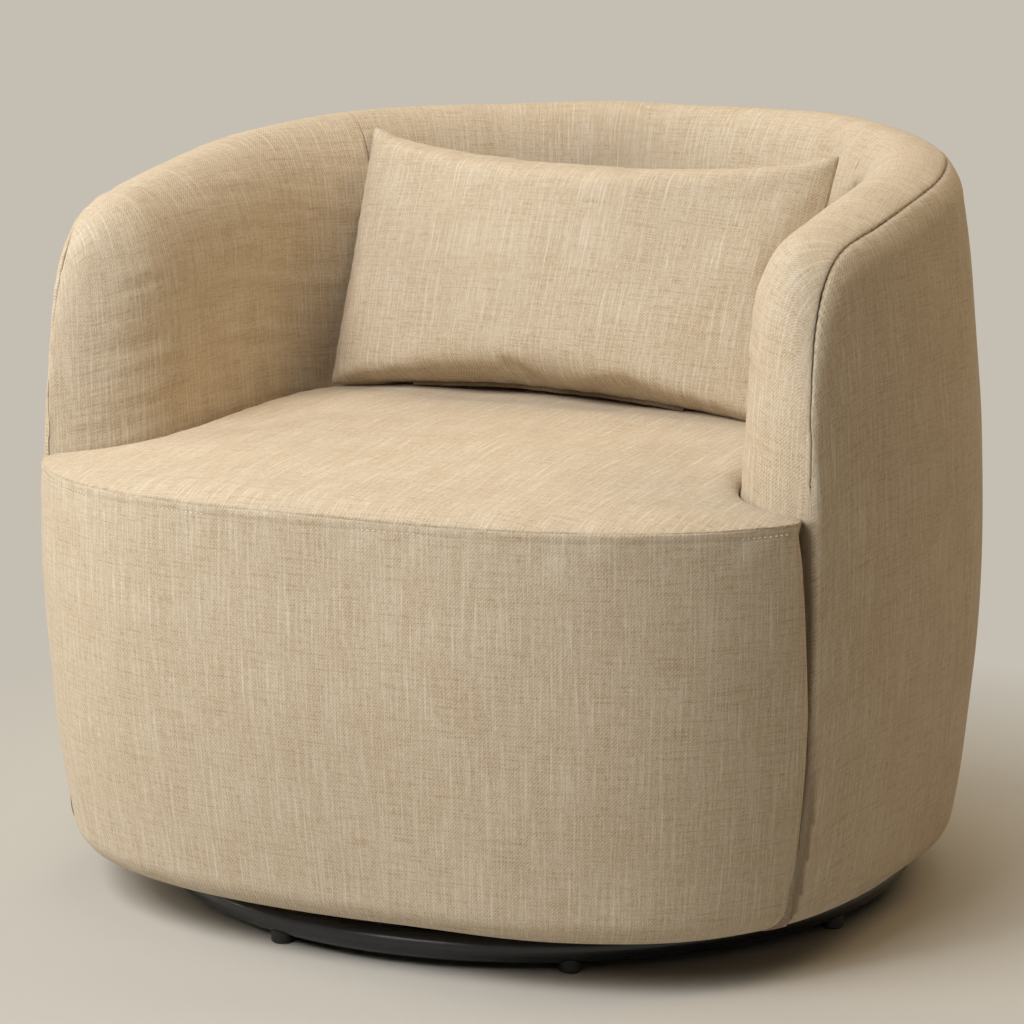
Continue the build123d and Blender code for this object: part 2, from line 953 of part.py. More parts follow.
def tee_nuts():
    # only their round flanges, which lie on the base board
    flange = Pos(0, 0, board_top_z + 0.8) * Cylinder(11, 1.6)
    return group([Pos(x, y, 0) * flange for x, y in upper_bolt_places()])


def floor_glides():
    # plastic feet: a flat round pad, cupped to the tube above
    height = 12
    pad = Pos(0, 0, height / 2) * Cylinder(glide_radius, height)
    pad = chamfer(pad.edges().sort_by(Axis.Z)[0], 1.5) - Cylinder(screw_radius + 0.1, through)
    cup = Pos(0, 0, ring_z) * Torus(ring_radius, tube_radius + 0.1)
    return turned(group([placed - cup for placed in at_glides(pad)]))


def glide_screws():
    return turned(group(at_glides(Pos(0, 0, 9) * Cylinder(screw_radius, 14))))


# Underside

def dust_cover():
    sheet = plan_sheet(board_inset + 14, fabric_bottom_z - 1.2, 0.8)
    return sheet - Box(plate_size + 12, plate_size + 12, through)


def dust_cover_staples():
    staples = []
    path = both_sides(arm_stations(0) + back_stations(0)) + front_stations(split_y)[1:-1]
    for place in path:
        middle = place.at(board_inset + 19, fabric_bottom_z - 1.5)
        turn = degrees(atan2(place.dy, place.dx))
        crown = Location((middle.X, middle.Y, middle.Z), (0, 0, turn)) * Box(1, 10, 0.6)
        staples.append(crown)
    return group(staples)


# Pillow, in its own frame: X along its width, Y through its thickness, Z up its height

def placed_pillow(shape):
    return Pos(*pillow_centre) * Rot(0, 0, pillow_turn) * Rot(pillow_lean, 0, 0) * shape


def lens_face(plane_at, low, high, half_thick):
    # two bowed faces that meet in a seam at each end
    middle, reach = (low + high) / 2, (high - low) / 2

    def point(angle, side):
        along = middle - reach * cos(radians(angle))
        return plane_at(along, side * half_thick * sin(radians(angle)) ** 0.8)

    edges = []
    for side in (1, -1):
        for start, half, end in ((0, 18, 36), (36, 90, 144), (144, 162, 180)):
            edges.append(ThreePointArc(point(start, side), point(half, side), point(end, side)))
    return make_face(edges)


def tall_section(share, gap):
    # across the pillow's width, at a share of its half width
    x, middle = share * pillow_width / 2, 1 - share ** 2
    top = pillow_height / 2 - top_draw_in * middle - gap
    bottom = -pillow_height / 2 + bottom_draw_in * middle + gap
    half_thick = (pillow_thickness / 2 - gap) * (0.88 + 0.12 * middle)
    return lens_face(lambda a, b: Vector(x, b, a), bottom, top, half_thick)


def wide_section(share, gap):
    # across the pillow's height, at a share of its half height
    z, middle = share * pillow_height / 2, 1 - share ** 2
    reach = pillow_width / 2 - side_draw_in * middle - gap
    half_thick = (pillow_thickness / 2 - gap) * (0.94 + 0.1 * middle)
    return lens_face(lambda a, b: Vector(a, b, z), -reach, reach, half_thick)


def pillow_block(gap):
    shares = (-1.06, -0.7, -0.35, 0, 0.35, 0.7, 1.06)
    tall = loft([tall_section(share, gap) for share in shares])
    return tall & loft([wide_section(share, gap) for share in shares])


zip_z = -pillow_height / 2 + bottom_draw_in + zip_tape / 2


def pillow_cover():
    skin = pillow_block(0) - pillow_block(pillow_cloth)
    slot = Pos(0, 0, zip_z - 2) * Box(zip_length + 2, 3.2, 16)
    return placed_pillow(skin - slot)


def pillow_fill():
    room = Pos(0, 0, zip_z - 2) * Box(zip_length + 8, 6, 20)
    return placed_pillow(pillow_block(pillow_cloth + 0.6) - room)


def pillow_zip():
    return placed_pillow(Pos(0, 0, zip_z + 1) * Box(zip_length, 2.4, zip_tape))


def zip_slider():
    body = Pos(-zip_length / 2 + 12, 0, zip_z - 2.2) * Box(9, 2.6, 2)
    return placed_pillow(body)


if __name__ == "__main__":
    right_cover = arm_cover()
    whole_foam = inner_foam()
    right_foam = right_arm_part(whole_foam)
    whole_padding = outer_padding()
    right_padding = right_arm_part(whole_padding)
    right_rail = side_rail()
    right_arm_rail = arm_rail()
    right_upright = arm_upright()
    right_rear_upright = rear_arm_upright()

    save("base_ring", base_ring())
    save("base_long_bar", base_long_bar())
    save("base_short_bars", base_short_bars())
    save("bearing_lower_plate", bearing_lower_plate())
    save("pivot_tube", pivot_tube())
    save("lower_plate_bolts", lower_plate_bolts())
    save("floor_glides", floor_glides())
    save("glide_screws", glide_screws())
    save("bearing_balls", bearing_balls())
    save("ball_retainer", ball_retainer())
    save("bearing_upper_plate", bearing_upper_plate())
    save("bearing_bolts", bearing_bolts())
    save("tee_nuts", tee_nuts())
    save("base_board", base_board())
    save("front_rail", front_rail())
    save("right_rail", right_rail)
    save("left_rail", mirror_x(right_rail))
    save("back_rail", back_rail())
    save("front_uprights", front_uprights())
    save("right_arm_upright", right_upright)
    save("left_arm_upright", mirror_x(right_upright))
    save("right_rear_upright", right_rear_upright)
    save("left_rear_upright", mirror_x(right_rear_upright))
    save("back_uprights", back_uprights())
    save("right_arm_rail", right_arm_rail)
    save("left_arm_rail", mirror_x(right_arm_rail))
    save("back_top_rail", back_top_rail())
    save("corner_blocks", corner_blocks())
    save("front_backing", front_backing())
    save("barrel_backing", barrel_backing())
    save("seat_springs", seat_springs())
    save("spring_clips", spring_clips())
    save("seat_felt", seat_felt())
    save("seat_foam", seat_foam())
    save("front_padding", front_padding())
    save("seat_top_cover", seat_top_cover())
    save("seat_apron", seat_apron())
    save("right_arm_foam", right_foam)
    save("left_arm_foam", mirror_x(right_foam))
    save("back_foam", back_part(whole_foam))
    save("right_padding", right_padding)
    save("left_padding", mirror_x(right_padding))
    save("back_padding", back_part(whole_padding))
    save("right_arm_cover", right_cover)
    save("left_arm_cover", mirror_x(right_cover))
    save("back_cover", back_cover())
    save("outer_cover", outer_cover())
    save("dust_cover", dust_cover())
    save("dust_cover_staples", dust_cover_staples())
    save("pillow_cover", pillow_cover())
    save("pillow_fill", pillow_fill())
    save("pillow_zip", pillow_zip())
    save("zip_slider", zip_slider())
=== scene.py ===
import json
import math

import bmesh
import bpy
import numpy as np
from mathutils import Matrix, Vector


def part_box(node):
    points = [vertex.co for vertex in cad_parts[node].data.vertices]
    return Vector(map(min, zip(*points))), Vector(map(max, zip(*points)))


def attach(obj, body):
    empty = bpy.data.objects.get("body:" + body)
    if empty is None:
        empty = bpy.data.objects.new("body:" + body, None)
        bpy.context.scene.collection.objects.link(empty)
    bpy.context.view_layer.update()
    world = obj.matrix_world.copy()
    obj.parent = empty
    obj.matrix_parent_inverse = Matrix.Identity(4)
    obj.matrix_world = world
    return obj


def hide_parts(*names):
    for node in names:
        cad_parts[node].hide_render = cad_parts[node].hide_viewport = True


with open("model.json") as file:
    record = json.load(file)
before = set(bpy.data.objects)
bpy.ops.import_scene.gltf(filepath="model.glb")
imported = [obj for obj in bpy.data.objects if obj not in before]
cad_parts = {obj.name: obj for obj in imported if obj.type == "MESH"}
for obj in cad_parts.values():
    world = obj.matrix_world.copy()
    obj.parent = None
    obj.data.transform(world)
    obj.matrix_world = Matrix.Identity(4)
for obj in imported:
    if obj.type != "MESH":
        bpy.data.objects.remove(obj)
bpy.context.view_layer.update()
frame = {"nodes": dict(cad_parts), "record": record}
nodes = frame["nodes"]
print("frame loaded")


# mesh helpers

def meshObject(name, bm, smooth=True):
    mesh = bpy.data.meshes.new(name)
    bm.normal_update()
    bm.to_mesh(mesh)
    bm.free()
    if smooth:
        mesh.shade_smooth()
    piece = bpy.data.objects.new(name, mesh)
    bpy.context.scene.collection.objects.link(piece)
    return piece


def vertPlaces(verts):
    return np.array([vert.co[:] for vert in verts])


def meshValues(mesh, kind):
    found = np.empty(len(mesh.vertices) * 3)
    mesh.vertices.foreach_get(kind, found)
    return found.reshape(-1, 3)


def placeMesh(mesh, places):
    mesh.vertices.foreach_set("co", places.astype(np.float32).ravel())
    mesh.update()


def shapedGrid(bm, places):
    # a grid bent to a table of points, one for each column and row
    across, up = places.shape[0] - 1, places.shape[1] - 1
    made = bmesh.ops.create_grid(bm, x_segments=across, y_segments=up, size=0.5)["verts"]
    flat = vertPlaces(made) + 0.5
    columns = np.rint(flat[:, 0] * across).astype(int)
    rows = np.rint(flat[:, 1] * up).astype(int)
    for vert, spot in zip(made, places[columns, rows]):
        vert.co = spot
    return made


def flatSheet(bm, low, high, step, extra=1):
    # a level grid between two corners, in steps of about the given length
    lines = []
    for axis in (0, 1):
        count = round((high[axis] - low[axis]) / step) + extra
        lines.append(np.linspace(low[axis], high[axis], count))
    x, y = np.meshgrid(*lines, indexing="ij")
    shapedGrid(bm, np.stack([x, y, 0 * x], -1))


def rimEdges(bm):
    return [edge for edge in bm.edges if len(edge.link_faces) == 1]


def dropLoose(bm):
    bmesh.ops.delete(bm, geom=[vert for vert in bm.verts if not vert.link_faces], context="VERTS")


def evened(bm, voxel, smoothing):
    # one even closed skin round a rough form
    rough = meshObject("rough", bm, False)
    skin = rough.modifiers.new("skin", "REMESH")
    skin.mode = "VOXEL"
    skin.voxel_size = voxel
    relax = rough.modifiers.new("relax", "SMOOTH")
    relax.factor = 0.5
    relax.iterations = smoothing
    mesh = bpy.data.meshes.new_from_object(rough.evaluated_get(bpy.context.evaluated_depsgraph_get()))
    made = bmesh.new()
    made.from_mesh(mesh)
    bpy.data.objects.remove(rough)
    bpy.data.meshes.remove(mesh)
    return made


def cutAlong(bm, field, level=0.0):
    # new edges where the field has this level, so that every face lies on one side of it
    tiny = 1e-6
    bm.verts.index_update()
    values = field(vertPlaces(bm.verts)) - level
    values = np.where(np.abs(values) < tiny, tiny, values)
    fresh = set()
    for edge in list(bm.edges):
        start, end = edge.verts
        a, b = values[start.index], values[end.index]
        if a * b < 0 and abs(a - b) < 0.05:
            fresh.add(bmesh.utils.edge_split(edge, start, a / (a - b))[1])
    for face in list(bm.faces):
        crossing = [vert for vert in face.verts if vert in fresh]
        if len(crossing) == 2:
            bmesh.utils.face_split(face, crossing[0], crossing[1])


def keepWhere(bm, test):
    centres = np.array([face.calc_center_median()[:] for face in bm.faces])
    gone = [face for face, kept in zip(bm.faces, test(centres)) if not kept]
    bmesh.ops.delete(bm, geom=gone, context="FACES")
    dropLoose(bm)


def writeUv(mesh, places):
    # cloth coordinates in metres: across the warp, along the warp
    layer = mesh.uv_layers.new(name="cloth")
    corners = np.empty(len(mesh.loops), np.int32)
    mesh.loops.foreach_get("vertex_index", corners)
    layer.data.foreach_set("uv", places[corners].astype(np.float32).ravel())


def writeMask(mesh, name, values):
    layer = mesh.attributes.new(name, "FLOAT", "POINT")
    layer.data.foreach_set("value", values.astype(np.float32))


def ripple(places, size, seed, waves=14):
    # a smooth uneven field, mostly between -1 and 1, with bumps of about the given size
    dice = np.random.default_rng(seed)
    total = np.zeros(len(places))
    for _ in range(waves):
        way = dice.normal(size=places.shape[1])
        way *= 2 * math.pi * dice.uniform(0.6, 1.5) / (size * np.linalg.norm(way))
        total += np.sin(places @ way + dice.uniform(0, 2 * math.pi))
    return total / math.sqrt(waves)


def bell(distance, width):
    return np.exp(-(distance / width) ** 2)


# the chair's outlines, in metres, as the frame has them

chair = {
    "halfWidth": 0.42, "middleY": 0.006,
    "backReach": 0.409, "backPower": 1.87, "frontReach": 0.421, "frontPower": 2.87,
    "widestZ": 0.321, "lowZ": 0.044, "topZ": 0.695, "bottomRound": 0.029,
    "bottomPull": 0.026, "topPull": 0.035,
}


def sideInset(z):
    # how far the outer face stands inside the plan outline at a height
    low = chair["bottomPull"] * ((chair["widestZ"] - z) / (chair["widestZ"] - chair["lowZ"])) ** 2
    high = chair["topPull"] * ((z - chair["widestZ"]) / (chair["topZ"] - chair["widestZ"])) ** 2
    return np.where(z < chair["widestZ"], low, high)


def planHalfWidth(y):
    behind = y >= chair["middleY"]
    reach = np.where(behind, chair["backReach"], chair["frontReach"])
    power = np.where(behind, chair["backPower"], chair["frontPower"])
    share = np.minimum(np.abs(y - chair["middleY"]) / reach, 1)
    return chair["halfWidth"] * (1 - share ** power) ** (1 / power)


def planPoint(angle, reach, power):
    # a point of the plan outline and its outward normal
    x = chair["halfWidth"] * np.maximum(np.cos(angle), 0) ** (2 / power)
    y = reach * np.sin(angle) ** (2 / power)
    nx = (x / chair["halfWidth"]) ** (power - 1) / chair["halfWidth"]
    ny = (y / reach) ** (power - 1) / reach
    size = np.hypot(nx, ny)
    return x, y, nx / size, ny / size


def bottomTurn(steps):
    # the quarter circle on which the cloth turns under the chair, as (inset, height)
    angles = np.radians(np.linspace(0, 90, steps))
    turn = chair["bottomRound"]
    roundZ = chair["lowZ"] + turn
    centre = float(sideInset(roundZ)) + turn
    return np.stack([centre - turn * np.sin(angles), roundZ - turn * np.cos(angles)], -1)


def sideRise(lowZ, highZ, steps):
    heights = np.linspace(lowZ, highZ, steps)
    return np.stack([sideInset(heights), heights], -1)


# barrel: the wall runs from one arm's nose round the back to the other

wall = {
    "fall": 0.057, "frontY": -0.165, "noseX": 0.371, "noseRadius": 0.093,
    "noseFall": 0.18, "noseFallPower": 2.6, "noseFallAngle": 88,
    "armThick": 0.142, "backThick": 0.135, "armLean": 0.008, "backLean": 0.017,
    "outerDrop": 0.042, "innerDrop": 0.095, "crestShare": 0.46,
    "lowZ": 0.385, "fold": 0.09, "seamAngle": 45, "panelAngle": 32, "frontCapY": -0.232,
    "clothCentreX": 0.42, "clothRadius": 0.125,
    "tuckX": 0.378, "tuckY": -0.246, "tuckFade": 0.006, "tuckShade": 0.55,
    "voxel": 0.0045, "quickVoxel": 0.008, "smallestEdge": 0.0002,
    "seamCuts": (0, -0.006, -0.0025, -0.0009, 0.0009, 0.0025, 0.006),
    "seamDepth": 0.0011, "seamWidth": 0.0012, "seamLine": 0.001, "panelSeamShare": 0.35,
    "rollHeight": 0.0003, "rollPlace": 0.006, "rollWidth": 0.004,
    "puckerHeight": 0.0003, "puckerSize": 0.026, "puckerReach": 0.022,
    "waveHeight": 0.0008, "waveSize": 0.16,
    "foldHeight": 0.00045, "foldSize": 0.022, "foldStretch": 0.13, "foldStart": 0.05, "foldFade": 0.07,
}


def crestHeight(y):
    backY = chair["middleY"] + chair["backReach"]
    share = (backY - y) / (backY - wall["frontY"])
    return chair["topZ"] - wall["fall"] * share ** 2


def stationTable(x, y, inX, inY, thick, crest, lean):
    return np.stack(np.broadcast_arrays(x, y, inX, inY, thick, crest, lean), -1)


def backStation(angle):
    x, y, nx, ny = planPoint(angle, chair["backReach"], chair["backPower"])
    y = y + chair["middleY"]
    share = np.sin(angle)
    thick = wall["armThick"] + (wall["backThick"] - wall["armThick"]) * share
    lean = wall["armLean"] + (wall["backLean"] - wall["armLean"]) * share
    return stationTable(x, y, -nx, -ny, thick, crestHeight(y), lean)


def armStation(y):
    x = planHalfWidth(y)
    inner = wall["noseX"] - wall["noseRadius"]
    return stationTable(x, y, -1, 0, x - inner, crestHeight(y), wall["armLean"])


def noseStation(y):
    angle = np.arcsin(np.clip((wall["frontY"] - y) / wall["noseRadius"], 0, 1))
    inner = wall["noseX"] - wall["noseRadius"] * np.cos(angle)
    share = np.degrees(angle) / wall["noseFallAngle"]
    crest = crestHeight(y) - wall["noseFall"] * share ** wall["noseFallPower"]
    x = planHalfWidth(y)
    return stationTable(x, y, -1, 0, np.maximum(x - inner, 0.004), crest, wall["armLean"] * np.cos(angle))


noseLength = wall["noseRadius"] * math.pi / 2
armLength = chair["middleY"] - wall["frontY"]
backAngles = np.radians(np.linspace(0, 90, 361))
backTable = backStation(backAngles)
crestLine = backTable[:, 0:2] + backTable[:, 2:4] * 0.07
crestSteps = np.linalg.norm(np.diff(crestLine, axis=0), axis=1)
backLengths = np.concatenate([[0], np.cumsum(crestSteps)])
halfLength = noseLength + armLength + backLengths[-1]
panelPath = backLengths[-1] - np.interp(math.radians(wall["panelAngle"]), backAngles, backLengths)


def backMatch(places):
    # the back station whose upright plane holds each point, by its row in the table
    tangent = np.stack([-backTable[:, 3], backTable[:, 2]], -1)
    ahead = places[:, None, :] - backTable[None, :, 0:2]
    along = np.einsum("ijk,jk->ij", ahead, tangent)
    along *= np.sign(along[:, :1].mean())
    row = np.clip((along > 0).sum(1), 1, len(backAngles) - 1)
    near, far = along[np.arange(len(row)), row - 1], along[np.arange(len(row)), row]
    return row - 1 + np.clip(near / (near - far + 1e-12), 0, 1)


def stationsAt(places):
    # for points near the wall: path from the back's middle, inset, thickness, crest and lean
    x, y = np.abs(places[:, 0]), places[:, 1]
    found = np.empty((len(places), 5))
    nose, back = y < wall["frontY"], y >= chair["middleY"]
    for mask, station in ((nose, noseStation), (~nose & ~back, armStation)):
        rows = station(y[mask])
        found[mask, 1] = rows[:, 0] - x[mask]
        found[mask, 2:] = rows[:, 4:7]
    found[:, 0] = noseLength + y - wall["frontY"]
    if back.any():
        match = backMatch(np.stack([x[back], y[back]], -1))
        steps = np.arange(len(backAngles))
        rows = np.stack([np.interp(match, steps, column) for column in backTable.T], -1)
        found[back, 0] = noseLength + armLength + np.interp(match, steps, backLengths)
        away = np.stack([x[back], y[back]], -1) - rows[:, 0:2]
        found[back, 1] = (away * rows[:, 2:4]).sum(1)
        found[back, 2:] = rows[:, 4:7]
    found[:, 0] = halfLength - found[:, 0]
    return found.T


def rimSizes(thick, crest):
    share = np.minimum(1, thick / wall["armThick"])
    shrink = np.sqrt(share * (2 - share))
    startZ = crest - wall["outerDrop"] * shrink
    start = sideInset(startZ)
    return startZ, start, start + wall["crestShare"] * (thick - start), crest - wall["innerDrop"] * shrink


def ovalLength(across, up, angle):
    # length along a quarter oval, from its top
    return angle * (across + up) / 2 + (across - up) / 4 * np.sin(2 * angle)


def wallCloth(places):
    # columns: way round the wall, way over the rim, distance from the outer seam and from the
    # panel seams, and how far the rim has fallen
    path, inset, thick, crest, lean = stationsAt(places)
    z = places[:, 2]
    startZ, start, crestInset, innerZ = rimSizes(thick, crest)
    inside = inset > crestInset
    across = np.where(inside, thick - lean - crestInset, crestInset - start)
    rise = np.where(inside, crest - innerZ, crest - startZ)
    aside = np.abs(inset - crestInset) / np.maximum(across, 1e-4)
    up = np.clip((z - (crest - rise)) / rise, 0, 2)
    overRim = ovalLength(across, rise, np.arctan2(aside, up))
    quarter = ovalLength(across, rise, math.pi / 2)
    run = np.where(up > 0, overRim, quarter + crest - rise - z)
    run = np.where(inside, -run, run)
    seamRun = ovalLength(crestInset - start, crest - startZ, math.radians(wall["seamAngle"]))
    around = np.sign(places[:, 0]) * path
    return np.stack([around, run, run - seamRun, path - panelPath, chair["topZ"] - crest], -1)


def outerCloth(cloth):
    # the cloth's threads stay upright and level on the wall, whatever the rim does
    return np.stack([cloth[:, 0], cloth[:, 1] + cloth[:, 4]], -1)


def innerCloth(places, cloth):
    # inside the seam the cloth also goes round the arm's nose
    ahead = wall["frontY"] - places[:, 1]
    turned = np.arctan2(ahead, wall["clothCentreX"] - np.abs(places[:, 0])) * wall["clothRadius"]
    around = np.sign(places[:, 0]) * (halfLength - noseLength + turned)
    return np.stack([np.where(ahead > 0, around, cloth[:, 0]), cloth[:, 1] - cloth[:, 4]], -1)


def outerSeam(places):
    return wallCloth(places)[:, 2]


def panelSeam(places):
    return wallCloth(places)[:, 3]


def barrelSection(row):
    # the wall's closed upright section at one station, as (inset, height)
    thick, crest, lean = row[4:7]
    startZ, start, crestInset, innerZ = (float(value) for value in rimSizes(thick, crest))
    high = thick - lean
    outer = np.radians(np.linspace(0, 90, 10))[1:]
    inner = np.radians(np.linspace(0, 90, 12))[1:]
    fall = np.linspace(0, 1, 8)[1:]
    parts = (
        [(wall["fold"], chair["lowZ"])],
        bottomTurn(6),
        sideRise(chair["lowZ"] + chair["bottomRound"], startZ, 30)[1:],
        np.stack([
            crestInset - (crestInset - start) * np.cos(outer), startZ + (crest - startZ) * np.sin(outer),
        ], -1),
        np.stack([
            crestInset + (high - crestInset) * np.sin(inner), innerZ + (crest - innerZ) * np.cos(inner),
        ], -1),
        np.stack([high + lean * fall, innerZ + (wall["lowZ"] - innerZ) * fall], -1),
        [(wall["fold"], chair["lowZ"])],
    )
    return np.concatenate(parts)


def barrelForm(voxel):
    noseAngles = np.radians([90, 87, 83, 78, 72, 66, 60, 53, 46, 38, 30, 20, 10])
    right = np.concatenate([
        noseStation(wall["frontY"] - wall["noseRadius"] * np.sin(noseAngles)),
        armStation(np.linspace(wall["frontY"], chair["middleY"], 14)[:-1]),
        backStation(np.radians(np.linspace(0, 90, 37))),
    ])
    left = right[-2::-1] * np.array([-1, 1, -1, 1, 1, 1, 1])
    table = []
    for row in np.concatenate([right, left]):
        section = barrelSection(row)
        plan = row[0:2] + section[:, :1] * row[2:4]
        table.append(np.concatenate([plan, section[:, 1:]], -1))
    bm = bmesh.new()
    shapedGrid(bm, np.array(table))
    bmesh.ops.remove_doubles(bm, verts=bm.verts, dist=1e-5)
    bmesh.ops.holes_fill(bm, edges=rimEdges(bm), sides=0)
    bmesh.ops.recalc_face_normals(bm, faces=bm.faces)
    return evened(bm, voxel, 4)


def showing(places):
    # leaves out the faces behind the seat and inside the wall
    inset = stationsAt(places)[1]
    z = places[:, 2]
    inward = (z < wall["lowZ"] + 0.002) & (inset > sideInset(z) + 0.012) & (z > chair["lowZ"] + 0.014)
    return ~inward | (places[:, 1] < wall["frontCapY"])


def sewWallPanel(name, bm, seed, crease):
    # rolls the cloth into its seams, makes it a little uneven and gives it its coordinates
    piece = meshObject(name, bm)
    mesh = piece.data
    places = meshValues(mesh, "co")
    cloth = wallCloth(places)
    plain = name == "outerPanel"  # one length of cloth goes all round the outside
    threads = outerCloth(cloth) if plain else innerCloth(places, cloth)
    seams = ((cloth[:, 2], 1), (cloth[:, 3], 0 if plain else wall["panelSeamShare"]))
    puckers = wall["puckerHeight"] * ripple(places, wall["puckerSize"], seed + 7)
    push = wall["waveHeight"] * ripple(places, wall["waveSize"], seed)
    for distance, share in seams:
        push -= share * wall["seamDepth"] * bell(distance, wall["seamWidth"])
        push += share * wall["rollHeight"] * bell(np.abs(distance) - wall["rollPlace"], wall["rollWidth"])
        push += share * puckers * bell(distance, wall["puckerReach"])
    # faint level folds down the inner side, where the cloth is pulled round the curve
    inside = np.clip((-cloth[:, 2] - wall["foldStart"]) / wall["foldFade"], 0, 1)
    folds = ripple(threads * np.array([wall["foldStretch"], 1]), wall["foldSize"], seed + 3)
    push += wall["foldHeight"] * crease * inside * folds
    placeMesh(mesh, places + meshValues(mesh, "normal") * push[:, None])
    writeUv(mesh, threads)
    # painted shade: the arm's front edge behind the seat's front panel is always in shade, so the shade
    # mask darkens its colour there
    tucked = (places[:, 1] < wall["tuckY"]) & (places[:, 2] < seat["seamZ"])
    deep = np.clip((wall["tuckX"] - np.abs(places[:, 0])) / wall["tuckFade"], 0, 1)
    lines = [share * bell(distance, wall["seamLine"]) for distance, share in seams]
    writeMask(mesh, "seam", np.max(lines, 0))
    writeMask(mesh, "shade", wall["tuckShade"] * tucked * deep)
    writeMask(mesh, "crease", crease * inside)
    return piece


def finishCloth(piece, material, body, replaced):
    piece.data.materials.append(material)
    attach(piece, body)
    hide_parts(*replaced)


def makeBarrel(material):
    whole = barrelForm(wall["voxel"])
    keepWhere(whole, showing)
    for level in wall["seamCuts"]:
        cutAlong(whole, outerSeam, level)
        cutAlong(whole, panelSeam, level)
    bmesh.ops.dissolve_degenerate(whole, dist=wall["smallestEdge"], edges=whole.edges)
    bmesh.ops.triangulate(whole, faces=[face for face in whole.faces if len(face.verts) > 4])

    def outside(places):
        return outerSeam(places) > 0

    def backSide(places):
        return (outerSeam(places) < 0) & (panelSeam(places) < 0)

    def armSide(side):
        return lambda p: (outerSeam(p) < 0) & (panelSeam(p) > 0) & (p[:, 0] * side > 0)

    panels = (
        ("outerPanel", outside, 11, 0, ("outer_cover", "right_padding", "left_padding", "back_padding")),
        ("backPanel", backSide, 23, 0.5, ("back_cover", "back_foam")),
        ("rightArmPanel", armSide(1), 31, 1, ("right_arm_cover", "right_arm_foam")),
        ("leftArmPanel", armSide(-1), 47, 1, ("left_arm_cover", "left_arm_foam")),
    )
    for name, test, seed, crease, replaced in panels:
        part = whole.copy()
        keepWhere(part, test)
        finishCloth(sewWallPanel(name, part, seed, crease), material, "seat", replaced)
    whole.free()


# seat: a crowned top and one front panel, sewn together along the front

seat = {
    "seamZ": 0.402, "crownZ": 0.438, "domeRadius": 3.333, "wallGap": 0.001,
    "splitTopY": -0.276, "splitLowY": -0.2635, "splitLeanZ": 0.24,
    "shoulder": 0.034, "wallShoulder": 0.02, "wallDrop": 0.011,
    "shoulderNearY": -0.18, "shoulderFarY": -0.272,
    "gridStep": 0.006, "quickGridStep": 0.009, "margin": 0.005, "skirt": 0.012,
    "edgeCuts": (0, 0.0015, 0.004, 0.008, 0.014), "apronColumns": 110, "quickApronColumns": 60,
    "topWave": 0.0012, "topWaveSize": 0.17, "topWaveStart": 0.05, "apronWave": 0.0008, "apronWaveSize": 0.2,
    "pucker": 0.0005, "puckerSize": 0.03, "topPuckerReach": 0.008, "apronPuckerReach": 0.02,
    "seamDip": 0.0004, "stitchDip": 0.0003, "dipWidth": 0.0011, "seamLine": 0.0008, "stitchLine": 0.0009,
    "roll": 0.0003, "rollPlace": 0.004, "rollWidth": 0.003, "clothRadius": 0.43,
    "endTurns": ((0.985, 0.004), (0.94, 0.006)),
    "stitchDrop": 0.0076, "stitchStep": 0.0052, "stitchLength": 0.0034, "threadRadius": 0.0006,
}


def frontOutline(startY, steps):
    # columns x, y, inward x, inward y: from the right split line round the front to the left one
    share = ((chair["middleY"] - startY) / chair["frontReach"]) ** (chair["frontPower"] / 2)
    start = math.asin(share)
    angles = start + (math.pi / 2 - start) * np.linspace(0, 1, steps) ** 0.8
    x, y, nx, ny = planPoint(angles, chair["frontReach"], chair["frontPower"])
    right = np.stack([x, chair["middleY"] - y, -nx, ny], -1)
    return np.concatenate([right, right[-2::-1] * np.array([-1, 1, -1, 1])])


def seatOutline():
    # closed plan of the seat's top: the front, in along the noses, back along the walls
    front = frontOutline(seat["splitTopY"], 60)
    front = front[:, 0:2] + front[:, 2:4] * float(sideInset(seat["seamZ"]))
    radius = wall["noseRadius"] + seat["wallGap"]
    last = math.degrees(math.acos(max(0.03, (wall["noseX"] - front[0, 0] + 0.002) / radius)))
    angles = np.radians(np.linspace(0, min(last, 89), 14))
    nose = np.stack([wall["noseX"] - radius * np.cos(angles), wall["frontY"] - radius * np.sin(angles)], -1)
    back = backStation(np.radians(np.linspace(0, 90, 25)))
    inner = back[:, 0:2] + back[:, 2:4] * (back[:, 4:5] + seat["wallGap"])
    inner[0] = (wall["noseX"] - radius, chair["middleY"])
    rightSide = np.concatenate([inner[::-1], nose])
    leftSide = (rightSide * np.array([-1, 1]))[::-1][:-1]
    return np.concatenate([rightSide, front, leftSide])


def outlineDistance(places, outline):
    # distance to a closed outline, more than nought inside
    p = places[:, None, 0:2]
    a, b = outline[None], np.roll(outline, -1, 0)[None]
    ab = b - a
    t = np.clip(((p - a) * ab).sum(-1) / np.maximum((ab ** 2).sum(-1), 1e-12), 0, 1)
    nearest = np.sqrt((((a + ab * t[..., None]) - p) ** 2).sum(-1)).min(1)
    crosses = (a[..., 1] > p[..., 1]) != (b[..., 1] > p[..., 1])
    slope = (b[..., 0] - a[..., 0]) / np.where(np.abs(ab[..., 1]) < 1e-12, 1e-12, ab[..., 1])
    meets = a[..., 0] + (p[..., 1] - a[..., 1]) * slope
    inside = (crosses & (p[..., 0] < meets)).sum(1) % 2 == 1
    return np.where(inside, nearest, -nearest)


